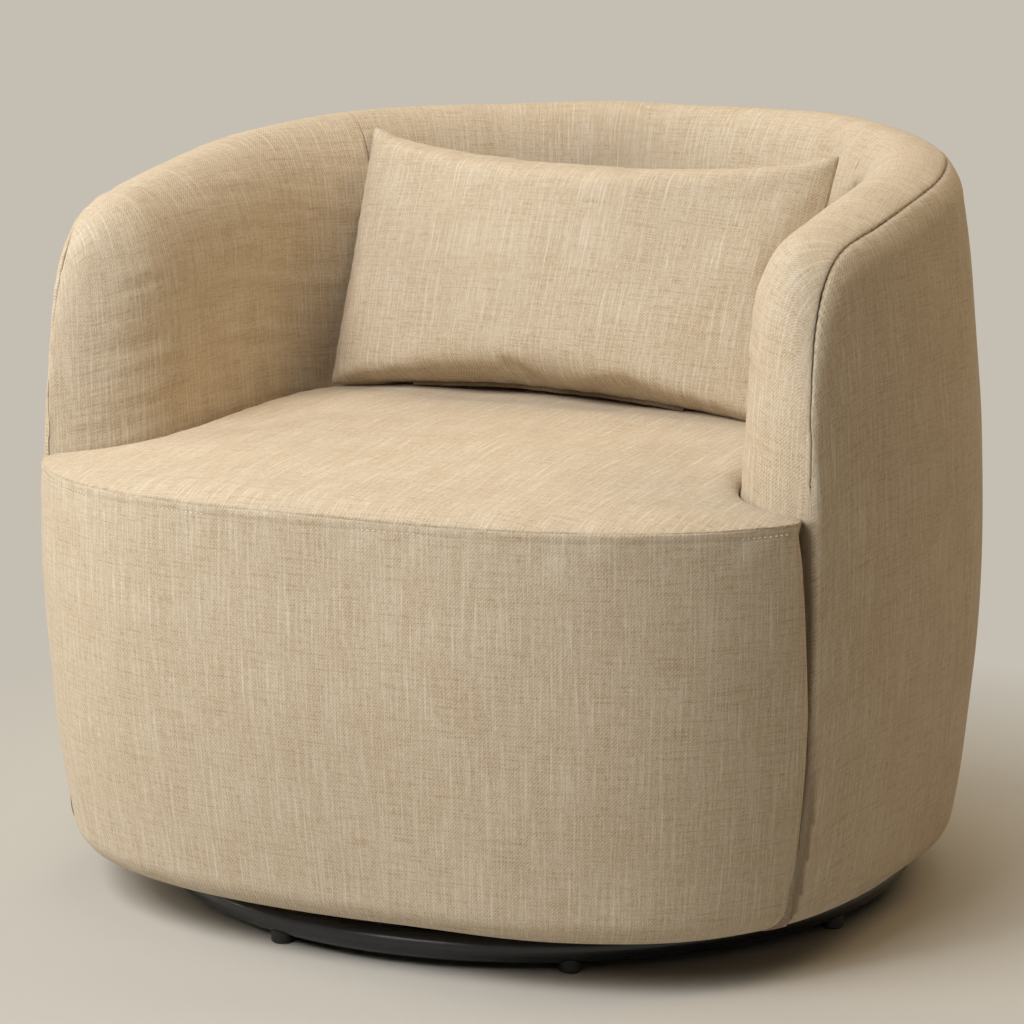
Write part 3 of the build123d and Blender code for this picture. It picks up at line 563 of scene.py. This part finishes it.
def makeSeatTop(material):
    outline = seatOutline()

    def edgeDistance(places):
        return outlineDistance(places, outline)

    step = seat["gridStep"]
    bm = bmesh.new()
    flatSheet(bm, outline.min(0) - seat["margin"], outline.max(0) + seat["margin"], step, 0)
    for level in seat["edgeCuts"]:
        cutAlong(bm, edgeDistance, level)
    keepWhere(bm, lambda places: edgeDistance(places) > 0)
    places = vertPlaces(bm.verts)
    edge = np.maximum(edgeDistance(places), 0)
    dome = seat["crownZ"] - (places[:, 0] ** 2 + places[:, 1] ** 2) / (2 * seat["domeRadius"])
    # the shoulder is deep along the front seam and shallow where the seat meets the walls
    front = (seat["shoulderNearY"] - places[:, 1]) / (seat["shoulderNearY"] - seat["shoulderFarY"])
    front = np.clip(front, 0, 1)
    front = front * front * (3 - 2 * front)
    shoulder = seat["wallShoulder"] + (seat["shoulder"] - seat["wallShoulder"]) * front
    rise = (1 - (1 - np.clip(edge / shoulder, 0, 1)) ** 2.4) ** (1 / 1.5)
    edgeZ = dome - seat["wallDrop"] + (seat["seamZ"] - dome + seat["wallDrop"]) * front
    places[:, 2] = edgeZ + (dome - edgeZ) * rise
    waves = ripple(places[:, 0:2], seat["topWaveSize"], 5) * np.clip(edge / seat["topWaveStart"], 0, 1)
    reach = seat["topPuckerReach"]
    puckers = ripple(places[:, 0:2], seat["puckerSize"], 9) * bell(edge - reach, reach)
    places[:, 2] += seat["topWave"] * waves + seat["pucker"] * puckers
    for vert, spot in zip(bm.verts, places):
        vert.co = spot
    # a hidden skirt goes down between the seat and the walls
    made = bmesh.ops.extrude_edge_only(bm, edges=rimEdges(bm))["geom"]
    skirt = [part for part in made if isinstance(part, bmesh.types.BMVert)]
    bmesh.ops.translate(bm, verts=skirt, vec=(0, 0, -seat["skirt"]))
    bmesh.ops.scale(bm, verts=skirt, vec=(0.99, 0.99, 1))
    bmesh.ops.recalc_face_normals(bm, faces=bm.faces)
    if sum(face.normal.z for face in bm.faces) < 0:
        bmesh.ops.reverse_faces(bm, faces=bm.faces)
    piece = meshObject("seatTop", bm)
    flat = meshValues(piece.data, "co")
    writeUv(piece.data, flat[:, 0:2])
    writeMask(piece.data, "seam", 0.2 * bell(edgeDistance(flat), seat["seamLine"]))
    finishCloth(piece, material, "seat", ("seat_top_cover", "seat_foam"))


def splitY(z):
    # where the front panel ends beside the arms; above the middle it leans away from them
    lean = np.clip((z - seat["splitLeanZ"]) / (seat["seamZ"] - seat["splitLeanZ"]), 0, 1)
    return seat["splitLowY"] + (seat["splitTopY"] - seat["splitLowY"]) * lean


def makeApron(material):
    profile = np.concatenate([
        [(wall["fold"] - 0.02, chair["lowZ"])],
        bottomTurn(9),
        sideRise(chair["lowZ"] + chair["bottomRound"], seat["seamZ"] - 0.012, 50)[1:],
        sideRise(seat["seamZ"] - 0.0105, seat["seamZ"] - 0.0005, 9),
        [(0.012, seat["seamZ"] - 0.004)],
    ])
    columns = seat["apronColumns"]
    table = []
    for inset, z in profile:
        line = frontOutline(float(splitY(z)), columns)
        plan = line[:, 0:2] + line[:, 2:4] * inset
        table.append(np.concatenate([plan, np.full((len(plan), 1), z)], -1))
    table = np.array(table)
    # the ends turn in beside the arms
    first, last = table[:, :1], table[:, -1:]
    for shrink, back in seat["endTurns"]:
        ends = [end * np.array([shrink, 1, 1]) + np.array([0, back, 0]) for end in (first, last)]
        table = np.concatenate([ends[0], table, ends[1]], 1)
    bm = bmesh.new()
    shapedGrid(bm, table)
    bmesh.ops.recalc_face_normals(bm, faces=bm.faces)
    front = min(bm.faces, key=lambda face: face.calc_center_median().y)
    if front.normal.y > 0:
        bmesh.ops.reverse_faces(bm, faces=bm.faces)
    piece = meshObject("seatApron", bm)
    mesh = piece.data
    places = meshValues(mesh, "co")
    below = seat["seamZ"] - places[:, 2]
    fromStitch = below - seat["stitchDrop"]
    reach = seat["apronPuckerReach"]
    push = seat["apronWave"] * ripple(places, seat["apronWaveSize"], 61)
    push += seat["pucker"] * ripple(places, seat["puckerSize"], 67) * bell(below - reach, reach)
    push += seat["roll"] * bell(below - seat["rollPlace"], seat["rollWidth"])
    push -= seat["seamDip"] * bell(below, seat["dipWidth"])
    push -= seat["stitchDip"] * bell(fromStitch, seat["dipWidth"])
    placeMesh(mesh, places + meshValues(mesh, "normal") * push[:, None])
    around = np.arctan2(places[:, 0], -places[:, 1]) * seat["clothRadius"]
    writeUv(mesh, np.stack([around, places[:, 2]], -1))
    lines = np.maximum(0.25 * bell(below, seat["seamLine"]), 0.12 * bell(fromStitch, seat["stitchLine"]))
    writeMask(mesh, "seam", lines)
    finishCloth(piece, material, "seat", ("seat_apron", "front_padding"))


def makeStitches(material):
    # the topstitch a little below the seat's front seam
    z = seat["seamZ"] - seat["stitchDrop"]
    line = frontOutline(float(splitY(z)) - 0.006, 400)
    track = line[:, 0:2] + line[:, 2:4] * (float(sideInset(z)) + 0.0004)
    runs = np.concatenate([[0], np.cumsum(np.linalg.norm(np.diff(track, axis=0), axis=1))])
    radius = seat["threadRadius"]
    bm = bmesh.new()
    for run in np.arange(seat["stitchStep"], runs[-1], seat["stitchStep"]):
        x, y = (np.interp(run, runs, track[:, axis]) for axis in (0, 1))
        ahead = [np.interp(run + 0.001, runs, track[:, axis]) for axis in (0, 1)]
        turn = math.atan2(ahead[1] - y, ahead[0] - x)
        made = bmesh.ops.create_uvsphere(bm, u_segments=6, v_segments=5, radius=radius)["verts"]
        bmesh.ops.scale(bm, verts=made, vec=(seat["stitchLength"] / 2 / radius, 1, 1))
        bmesh.ops.rotate(bm, verts=made, cent=(0, 0, 0), matrix=Matrix.Rotation(turn, 3, "Z"))
        bmesh.ops.translate(bm, verts=made, vec=(x, y, z))
    piece = meshObject("seatTopstitch", bm)
    piece.data.materials.append(material)
    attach(piece, "seat")


# pillow

pillow = {
    "width": 0.508, "height": 0.262, "thick": 0.126, "centre": (-0.003, 0.083, 0.55),
    "turn": -7, "lean": -21.4, "clothPlace": (0.7, 0.3),
    "flare": 0.024, "belly": 0.018, "ear": 0.007, "earWidth": 0.12, "sag": 0.006, "waves": 0.0012,
    "cutWidth": 0.515, "cutHeight": 0.284, "across": 72, "up": 40, "firstAir": 0.012,
    "pressure": 4.0, "frames": 18, "stiffness": 60, "bending": 5.0, "damping": 15, "mass": 0.5,
    "quality": 6, "airDamping": 3,
    "zipLength": 0.3, "zipDepth": 0.004, "zipThick": 0.0024, "zipIn": 0.0012,
}


def pillowPlace():
    turn = Matrix.Rotation(math.radians(pillow["turn"]), 4, "Z")
    lean = Matrix.Rotation(math.radians(pillow["lean"]), 4, "X")
    return Matrix.Translation(pillow["centre"]) @ turn @ lean


def sewnPillow():
    # two flat sheets joined all round their edges, with a little air between them
    across, up = pillow["across"], pillow["up"]
    a, b = np.meshgrid(np.linspace(-1, 1, across + 1), np.linspace(-1, 1, up + 1), indexing="ij")
    fat = pillow["firstAir"] * (1 - a ** 4) * (1 - b ** 4)
    bm = bmesh.new()
    for side in (-1, 1):
        shapedGrid(bm, np.stack([a * pillow["cutWidth"] / 2, side * fat, b * pillow["cutHeight"] / 2], -1))
    bmesh.ops.remove_doubles(bm, verts=bm.verts, dist=1e-5)
    bmesh.ops.recalc_face_normals(bm, faces=bm.faces)
    if bm.calc_volume(signed=True) < 0:
        bmesh.ops.reverse_faces(bm, faces=bm.faces)
    return bm


def inflate(piece):
    scene = bpy.context.scene
    fill = piece.modifiers.new("fill", "CLOTH")
    cloth = fill.settings
    cloth.quality = pillow["quality"]
    cloth.mass = pillow["mass"]
    for way, share in (("tension", 1), ("compression", 1), ("shear", 1 / 3)):
        setattr(cloth, way + "_stiffness", pillow["stiffness"] * share)
        setattr(cloth, way + "_damping", pillow["damping"])
    cloth.bending_stiffness = pillow["bending"]
    cloth.air_damping = pillow["airDamping"]
    cloth.use_pressure = True
    cloth.uniform_pressure_force = pillow["pressure"]
    cloth.effector_weights.gravity = 0
    fill.collision_settings.use_collision = False
    fill.point_cache.frame_start = 1
    fill.point_cache.frame_end = pillow["frames"]
    for number in range(1, pillow["frames"] + 1):
        scene.frame_set(number)
    puffed = bpy.data.meshes.new_from_object(piece.evaluated_get(bpy.context.evaluated_depsgraph_get()))
    places = meshValues(puffed, "co")
    piece.modifiers.clear()
    bpy.data.meshes.remove(puffed)
    scene.frame_set(1)
    return places


def makePillow(material):
    piece = meshObject("lumbarPillow", sewnPillow())
    mesh = piece.data
    flat = meshValues(mesh, "co")
    places = inflate(piece)
    size = np.ptp(places, axis=0)
    places = (places - (places.max(0) + places.min(0)) / 2) / size
    places *= np.array([pillow["width"], pillow["thick"], pillow["height"]])
    # it rests on its lower edge: the filling settles, the top edge sags and its corners stand up
    side = np.clip(places[:, 0] / (pillow["width"] / 2), -1, 1)
    up = np.clip(places[:, 2] / (pillow["height"] / 2), -1, 1)
    fat = np.abs(places[:, 1]) / (pillow["thick"] / 2)
    places[:, 0] *= 1 + pillow["flare"] * (up + 0.4)
    places[:, 2] -= pillow["belly"] * fat * np.clip(-up, 0, 1)
    places[:, 2] += pillow["ear"] * bell(1 - np.abs(side), pillow["earWidth"]) * np.clip(up, 0, 1) ** 4
    places[:, 2] -= pillow["sag"] * (1 - side ** 2 + np.clip(side, 0, 1)) * np.clip(up, 0, 1)
    places[:, 1] += pillow["waves"] * ripple(flat, 0.12, 83)
    placeMesh(mesh, places)
    writeUv(mesh, flat[:, [0, 2]] + np.array(pillow["clothPlace"]))
    edge = np.array([pillow["cutWidth"], pillow["cutHeight"]]) / 2 - np.abs(flat[:, [0, 2]])
    writeMask(mesh, "seam", 0.3 * bell(edge.min(1), 0.002))
    mesh.transform(pillowPlace())
    smooth = piece.modifiers.new("smooth", "SUBSURF")
    smooth.levels = 1
    smooth.render_levels = 1
    finishCloth(piece, material, "pillow", ("pillow_cover", "pillow_fill"))
    lowEdge = np.abs(flat[:, 2] + pillow["cutHeight"] / 2) < 1e-4
    seam = places[lowEdge]
    return seam[np.argsort(seam[:, 0])]


def makeZipTape(seam, material):
    # the zip's tape follows the pillow's bottom seam
    x = np.linspace(-pillow["zipLength"] / 2, pillow["zipLength"] / 2, 61)
    y, z = (np.interp(x, seam[:, 0], seam[:, axis]) for axis in (1, 2))
    half, deep = pillow["zipThick"] / 2, pillow["zipDepth"]
    profile = ((-half, 0), (-half, -deep), (half, -deep), (half, 0))
    z = z + pillow["zipIn"]
    rows = [np.stack([x, y + side, z + down], -1) for side, down in profile + profile[:1]]
    bm = bmesh.new()
    shapedGrid(bm, np.stack(rows, 1))
    bmesh.ops.remove_doubles(bm, verts=bm.verts, dist=1e-6)
    bmesh.ops.holes_fill(bm, edges=rimEdges(bm), sides=0)
    bmesh.ops.recalc_face_normals(bm, faces=bm.faces)
    bmesh.ops.transform(bm, matrix=pillowPlace(), verts=bm.verts)
    piece = meshObject("zipTape", bm, False)
    piece.data.materials.append(material)
    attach(piece, "pillow")
    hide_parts("pillow_zip")


# under the seat

hidden = {
    "coverInset": 0.084, "coverZ": 0.0428, "coverThick": 0.0008, "coverHole": 0.106,
    "gridStep": 0.012, "margin": 0.003, "quilting": 0.0006, "quiltSize": 0.05,
}


def planRing(inset):
    # the closed plan outline at an inset
    back = backStation(np.radians(np.linspace(0, 90, 30)))
    right = back[:, 0:2] + back[:, 2:4] * inset
    front = frontOutline(chair["middleY"], 30)
    front = front[:, 0:2] + front[:, 2:4] * inset
    left = right[1:] * np.array([-1, 1])
    return np.concatenate([front, left, right[-2:0:-1]])


def thicken(bm, thickness, lowZ):
    bmesh.ops.recalc_face_normals(bm, faces=bm.faces)
    bmesh.ops.solidify(bm, geom=bm.faces[:], thickness=thickness)
    bottom = min(vert.co.z for vert in bm.verts)
    bmesh.ops.translate(bm, verts=bm.verts, vec=(0, 0, lowZ - bottom))
    bmesh.ops.recalc_face_normals(bm, faces=bm.faces)


def makeDustCover(material):
    outline = planRing(hidden["coverInset"])

    def inside(places):
        return outlineDistance(places, outline)

    def fromHole(places):
        return np.maximum(np.abs(places[:, 0]), np.abs(places[:, 1])) - hidden["coverHole"]

    bm = bmesh.new()
    flatSheet(bm, outline.min(0) - hidden["margin"], outline.max(0) + hidden["margin"], hidden["gridStep"])
    cutAlong(bm, inside)
    cutAlong(bm, fromHole)
    keepWhere(bm, lambda places: (inside(places) > 0) & (fromHole(places) > 0))
    area = sum(face.calc_area() for face in bm.faces)
    thicken(bm, hidden["coverThick"], hidden["coverZ"])
    piece = meshObject("dustCover", bm, False)
    piece.data.materials.append(material)
    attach(piece, "seat")
    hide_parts("dust_cover")


def makeSeatFelt(material):
    low, high = (np.array(corner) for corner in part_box("seat_felt"))
    bm = bmesh.new()
    flatSheet(bm, low, high, hidden["gridStep"])
    thicken(bm, float(high[2] - low[2]) - hidden["quilting"], float(low[2]))
    piece = meshObject("seatFelt", bm, False)
    places = meshValues(piece.data, "co")
    lift = hidden["quilting"] * (ripple(places[:, 0:2], hidden["quiltSize"], 71) * 0.25 + 0.5)
    upper = places[:, 2] > (low[2] + high[2]) / 2
    places[:, 2] += np.clip(lift, 0, hidden["quilting"]) * upper
    placeMesh(piece.data, places)
    piece.data.materials.append(material)
    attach(piece, "seat")
    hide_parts("seat_felt")


# materials

def linear(r, g, b):
    # a screen colour as the shader's numbers
    def one(value):
        value /= 255
        return value / 12.92 if value <= 0.04045 else ((value + 0.055) / 1.055) ** 2.4
    return (one(r), one(g), one(b), 1)


def newMaterial(name, roughness, metallic=0.0):
    material = bpy.data.materials.new(name)
    material.use_nodes = True
    tree = material.node_tree
    shader = tree.nodes["Principled BSDF"]
    shader.inputs["Roughness"].default_value = roughness
    shader.inputs["Metallic"].default_value = metallic
    return material, tree, shader


def addNode(tree, kind, settings=None, **links):
    # links: an input's name, or i and its number, with the socket or the value that it takes
    node = tree.nodes.new("ShaderNode" + kind)
    for key, value in (settings or {}).items():
        setattr(node, key, value)
    for key, value in links.items():
        socket = node.inputs[int(key[1:])] if key[0] == "i" and key[1:].isdigit() else node.inputs[key]
        if isinstance(value, bpy.types.NodeSocket):
            tree.links.new(value, socket)
        else:
            socket.default_value = value
    return node


def mathNode(tree, operation, a, b):
    return addNode(tree, "Math", {"operation": operation}, i0=a, i1=b).outputs[0]


def weightedSum(tree, terms):
    total = 0.0
    for value, share in terms:
        total = mathNode(tree, "ADD", total, mathNode(tree, "MULTIPLY", value, share))
    return total


def mappedShare(tree, value, low, high, least=0.0, most=1.0):
    return addNode(tree, "MapRange", None, Value=value, i1=low, i2=high, i3=least, i4=most).outputs[0]


def mixedColour(tree, share, first, second):
    mixed = addNode(tree, "Mix", {"data_type": "RGBA"}, i0=share, i6=first, i7=second)
    return mixed.outputs[2]


def stretchedNoise(tree, vector, scale, shift, detail=2.0):
    place = (shift, shift * 0.7, 0)
    placed = addNode(tree, "Mapping", None, Vector=vector, Scale=(*scale, 1), Location=place).outputs[0]
    flat = {"noise_dimensions": "2D"}
    return addNode(tree, "TexNoise", flat, Vector=placed, Scale=1.0, Detail=detail).outputs["Fac"]


def newGroup(name, taken, made):
    # a group of nodes with its input and output sockets, each by name and kind
    tree = bpy.data.node_groups.new(name, "ShaderNodeTree")
    for way, sockets in (("INPUT", taken), ("OUTPUT", made)):
        for title, kind in sockets.items():
            tree.interface.new_socket(title, in_out=way, socket_type="NodeSocket" + kind)
    given = tree.nodes.new("NodeGroupInput")
    result = tree.nodes.new("NodeGroupOutput")
    return tree, [given.outputs[title] for title in taken], result


def makeWeaveGroup():
    # slubby twill on cloth coordinates in metres
    taken = {"Cloth": "Vector", "Dark": "Color", "Middle": "Color", "Light": "Color", "Crease": "Float"}
    tree, given, result = newGroup("slubWeave", taken, {"Color": "Color", "Height": "Float"})
    cloth, dark, middle, light, crease = given

    # the twill's own diagonal, and the threads that cross it
    flipped = addNode(tree, "Mapping", None, Vector=cloth, Scale=(-1, 0.9, 1)).outputs[0]
    twill = addNode(
        tree, "TexWave", {"bands_direction": "DIAGONAL"}, Vector=flipped,
        Scale=205.0, Distortion=1.4, Detail=1.0,
    ).outputs["Fac"]
    threads = (
        ((640, 17), 3, 0.52, 0.78, 0.19),
        ((330, 13), 29, 0.5, 0.8, 0.14),
        ((22, 480), 11, 0.48, 0.8, -0.12),
        ((60, 760), 41, 0.5, 0.8, -0.07),
    )
    terms = [(twill, 0.15)]
    for scale, shift, low, high, share in threads:
        terms.append((mappedShare(tree, stretchedNoise(tree, cloth, scale, shift), low, high), share))
    # flecks, fine warp and weft, and broad clouds
    for scale, shift, detail, share in (
        ((1150, 1150), 23, 0.0, 0.3), ((1000, 120), 17, 1.0, 0.3), ((150, 1000), 61, 1.0, 0.22),
        ((26, 17), 37, 3.0, 0.12),
    ):
        terms.append((stretchedNoise(tree, cloth, scale, shift, detail), share))
    tone = mathNode(tree, "SUBTRACT", weightedSum(tree, terms), 0.09)

    colour = mixedColour(tree, mappedShare(tree, tone, 0.12, 0.45), dark, middle)
    colour = mixedColour(tree, mappedShare(tree, tone, 0.45, 0.85), colour, light)
    folds = mathNode(tree, "MULTIPLY", stretchedNoise(tree, cloth, (16, 105), 51), crease)
    tree.links.new(colour, result.inputs["Color"])
    tree.links.new(weightedSum(tree, ((tone, 0.5), (folds, 2.2))), result.inputs["Height"])
    return tree


weaveLook = {
    "dark": (156, 126, 92), "middle": (195, 178, 152), "light": (222, 213, 193),
    # the seam colour is also the painted shade on the arm's edge behind the seat's front panel
    "seam": (84, 62, 38), "stitchScale": 60, "stitchGap": 0.55, "stitchHole": 0.95,
    "roughness": 0.9, "sheen": 0.1, "bump": 0.5, "bumpDepth": 0.0006,
}


def makeWeave(group):
    material, tree, shader = newMaterial("oatmealWeave", weaveLook["roughness"])
    cloth = addNode(tree, "UVMap", {"uv_map": "cloth"}).outputs[0]
    seam, crease, shade = (
        addNode(tree, "Attribute", {"attribute_name": mask}).outputs["Fac"]
        for mask in ("seam", "crease", "shade")
    )
    weave = addNode(
        tree, "Group", {"node_tree": group}, Cloth=cloth, Dark=linear(*weaveLook["dark"]),
        Middle=linear(*weaveLook["middle"]), Light=linear(*weaveLook["light"]), Crease=crease,
    )
    # the seam shows as a row of small dark stitch holes; the same dark colour is painted shade where the
    # shade mask is set
    holes = addNode(
        tree, "TexWave", {"bands_direction": "DIAGONAL"}, Vector=cloth, Scale=weaveLook["stitchScale"]
    ).outputs["Fac"]
    row = mappedShare(tree, holes, 0.2, 0.8, weaveLook["stitchGap"], weaveLook["stitchHole"])
    share = mathNode(tree, "MAXIMUM", mathNode(tree, "MULTIPLY", seam, row), shade)
    shaded = mixedColour(tree, share, weave.outputs["Color"], linear(*weaveLook["seam"]))
    tree.links.new(shaded, shader.inputs["Base Color"])
    bump = addNode(
        tree, "Bump", None, Strength=weaveLook["bump"], Distance=weaveLook["bumpDepth"],
        Height=weave.outputs["Height"],
    )
    tree.links.new(bump.outputs[0], shader.inputs["Normal"])
    shader.inputs["Sheen Weight"].default_value = weaveLook["sheen"]
    return material


def makeGrainGroup():
    # broad and fine unevenness, drawn out along the material's own grain
    taken = {
        "Place": "Vector", "Stretch": "Vector", "Dark": "Color", "Light": "Color",
        "Smooth": "Float", "Rough": "Float",
    }
    made = {"Color": "Color", "Roughness": "Float", "Height": "Float"}
    tree, given, result = newGroup("surfaceGrain", taken, made)
    place, stretch, dark, light, smooth, rough = given
    drawn = addNode(tree, "VectorMath", {"operation": "MULTIPLY"}, i0=place, i1=stretch).outputs[0]
    broad = addNode(tree, "TexNoise", None, Vector=drawn, Scale=1.0, Detail=4.0).outputs["Fac"]
    fine = addNode(tree, "TexNoise", None, Vector=drawn, Scale=6.5, Detail=2.0).outputs["Fac"]
    both = weightedSum(tree, ((broad, 0.6), (fine, 0.4)))
    colour = mixedColour(tree, mappedShare(tree, both, 0.35, 0.65), dark, light)
    tree.links.new(colour, result.inputs["Color"])
    tree.links.new(mappedShare(tree, fine, 0.3, 0.7, smooth, rough), result.inputs["Roughness"])
    tree.links.new(both, result.inputs["Height"])
    return tree


# name, dark and light tone, least and most roughness, metallic, grains for each metre, bump depth
slotLooks = {
    "ring_black": ("ringEnamel", (31, 34, 38), (37, 40, 45), 0.2, 0.27, 0, (14, 14, 14), 1e-5),
    "seam_thread": ("seamThread", (222, 212, 190), (238, 230, 212), 0.75, 0.9, 0, (900, 900, 900), 0.0001),
    "plate_steel": ("plateEnamel", (20, 20, 22), (34, 34, 36), 0.38, 0.55, 0, (300, 300, 300), 0.0001),
    "bright_steel": ("brightSteel", (150, 152, 156), (188, 190, 193), 0.24, 0.42, 1, (40, 900, 900), 5e-5),
    "glide_plastic": ("glidePlastic", (15, 15, 16), (25, 25, 26), 0.42, 0.6, 0, (500, 500, 500), 0.0001),
    "nylon": ("nylon", (205, 201, 190), (222, 219, 210), 0.4, 0.55, 0, (150, 150, 150), 8e-5),
    "plywood": ("plywood", (176, 138, 90), (218, 186, 139), 0.6, 0.8, 0, (9, 130, 260), 0.0003),
    "fibreboard": ("fibreboard", (122, 98, 66), (156, 130, 94), 0.8, 0.92, 0, (380, 380, 380), 0.0002),
    "felt": ("felt", (112, 112, 108), (156, 156, 150), 0.9, 1, 0, (240, 240, 500), 0.0006),
    "foam": ("foam", (222, 208, 165), (240, 232, 198), 0.9, 1, 0, (700, 700, 700), 0.0006),
    "wadding": ("wadding", (226, 225, 220), (244, 243, 240), 0.92, 1, 0, (180, 180, 420), 0.001),
    "black_cambric": ("blackCambric", (16, 16, 17), (32, 32, 33), 0.82, 0.95, 0, (900, 900, 900), 0.0002),
    "zip_tape": ("zipTape", (92, 76, 56), (122, 102, 78), 0.8, 0.92, 0, (1100, 300, 300), 0.0003),
}


def grained(group, title, dark, light, smooth, rough, metallic, stretch, depth):
    material, tree, shader = newMaterial(title, rough, metallic)
    where = addNode(tree, "TexCoord")
    placed = addNode(tree, "Mapping", None, Vector=where.outputs["Object"], Location=(0.013, 0.007, 0.003))
    grain = addNode(
        tree, "Group", {"node_tree": group}, Place=placed.outputs[0], Stretch=stretch,
        Dark=linear(*dark), Light=linear(*light), Smooth=smooth, Rough=rough,
    )
    bump = addNode(tree, "Bump", None, Strength=0.5, Distance=depth, Height=grain.outputs["Height"])
    tree.links.new(grain.outputs["Color"], shader.inputs["Base Color"])
    tree.links.new(grain.outputs["Roughness"], shader.inputs["Roughness"])
    tree.links.new(bump.outputs[0], shader.inputs["Normal"])
    return material


def dressFrame():
    group = makeGrainGroup()
    made = {slotName: grained(group, *look) for slotName, look in slotLooks.items()}
    for row in frame["record"]["subparts"]:
        if row["material_slot"] in made:
            slots = nodes[row["node"]].data.materials
            slots.clear()
            slots.append(made[row["material_slot"]])
    return made


# stage

photo = {
    "azimuth": 25.144, "elevation": 10.703, "distance": 3.134, "target": (0, 0, 0.35),
    "focal": 3335.7, "pixels": 1024, "rightPixels": 23.9, "upPixels": 17.1, "farthest": 60,
}
room = {
    "floor": (196, 192, 183), "mottle": (-3, 2), "roughness": 0.9, "radius": 40,
    "wall": (197, 191, 179), "fadeStart": 0.42, "fadeEnd": 0.95,
    "world": (1.0, 0.9, 0.75), "worldStrength": 0.015, "lampTarget": (0, 0, 0.3), "lampDistance": 3.4,
}
# azimuth, elevation, size, watts, colour
lamps = {
    "keyLight": (-30, 45, 1.6, 72, (0.96, 0.97, 1)),
    "frontLight": (-10, 38, 1.6, 40, (1, 0.98, 0.96)),
    "sideLight": (-80, 20, 1.6, 41, (1, 0.92, 0.76)),
    "farLight": (120, 50, 1.6, 30, (1, 0.74, 0.44)),
    "topLight": (180, 70, 2.0, 34, (1, 0.9, 0.74)),
}


def aimed(name, data, target, azimuth, elevation, distance):
    # a camera or lamp that looks at the target from a side and height, in degrees
    piece = bpy.data.objects.new(name, data)
    a, e = math.radians(azimuth), math.radians(elevation)
    out = Vector((math.sin(a) * math.cos(e), -math.cos(a) * math.cos(e), math.sin(e)))
    piece.location = Vector(target) + out * distance
    piece.rotation_euler = (-out).to_track_quat("-Z", "Y").to_euler()
    bpy.context.scene.collection.objects.link(piece)
    return piece


def makeCamera():
    data = bpy.data.cameras.new("photoView")
    data.sensor_width = 36
    data.lens = photo["focal"] / photo["pixels"] * data.sensor_width
    data.shift_x = -photo["rightPixels"] / photo["pixels"]
    data.shift_y = -photo["upPixels"] / photo["pixels"]
    data.clip_end = photo["farthest"]
    bpy.context.scene.camera = aimed(
        "photoView", data, photo["target"], photo["azimuth"], photo["elevation"], photo["distance"]
    )


def blendShaders(tree, share, first, second, output):
    both = addNode(tree, "MixShader", None, i0=share, i1=first.outputs[0], i2=second.outputs[0])
    tree.links.new(both.outputs[0], tree.nodes[output].inputs["Surface"])


def makeFloor():
    # a wide floor that fades into the tone of the world round it, from every side
    bm = bmesh.new()
    bmesh.ops.create_circle(bm, cap_ends=True, segments=64, radius=room["radius"])
    piece = meshObject("studioFloor", bm, False)
    material, tree, shader = newMaterial("palePlaster", room["roughness"])
    where = addNode(tree, "TexCoord").outputs["Object"]
    cloudy = addNode(tree, "TexNoise", None, Vector=where, Scale=1.1, Detail=2.0).outputs["Fac"]
    ramp = addNode(tree, "ValToRGB", None, Fac=cloudy)
    for element, position, change in zip(ramp.color_ramp.elements, (0.3, 0.7), room["mottle"]):
        element.position = position
        element.color = linear(*(value + change for value in room["floor"]))
    tree.links.new(ramp.outputs[0], shader.inputs["Base Color"])
    # away from the chair the plaster is seen at an even tone
    glow = addNode(tree, "Emission", None, Color=linear(*room["wall"]), Strength=1.0)
    away = addNode(tree, "VectorMath", {"operation": "LENGTH"}, i0=where).outputs["Value"]
    fade = mappedShare(tree, away, room["fadeStart"], room["fadeEnd"])
    seen = addNode(tree, "LightPath").outputs["Is Camera Ray"]
    blendShaders(tree, mathNode(tree, "MULTIPLY", fade, seen), shader, glow, "Material Output")
    piece.data.materials.append(material)


def makeWorld():
    world = bpy.data.worlds.new("studio")
    bpy.context.scene.world = world
    world.use_nodes = True
    tree = world.node_tree
    sky = tree.nodes["Background"]
    sky.inputs["Color"].default_value = (*room["world"], 1)
    sky.inputs["Strength"].default_value = room["worldStrength"]
    # the camera and reflections see the wall's tone, which lights nothing
    plain = addNode(tree, "Background", None, Color=linear(*room["wall"]), Strength=1.0)
    seen = addNode(tree, "LightPath")
    direct = mathNode(tree, "MAXIMUM", seen.outputs["Is Camera Ray"], seen.outputs["Is Glossy Ray"])
    blendShaders(tree, direct, sky, plain, "World Output")


def makeLamps():
    for name, (azimuth, elevation, size, power, colour) in lamps.items():
        data = bpy.data.lights.new(name, "AREA")
        data.size = size
        data.energy = power
        data.color = colour
        aimed(name, data, room["lampTarget"], azimuth, elevation, room["lampDistance"])


makeCamera()
makeFloor()
makeWorld()
makeLamps()
bpy.context.scene.view_settings.view_transform = "Standard"
looks = dressFrame()
print("stage and frame materials made")
weave = makeWeave(makeWeaveGroup())
makeBarrel(weave)
print("barrel made")
makeSeatTop(weave)
makeApron(weave)
makeStitches(looks["seam_thread"])
print("seat made")
makeZipTape(makePillow(weave), looks["zip_tape"])
print("pillow made")
makeDustCover(looks["black_cambric"])
makeSeatFelt(looks["felt"])
print("hidden cloth made")
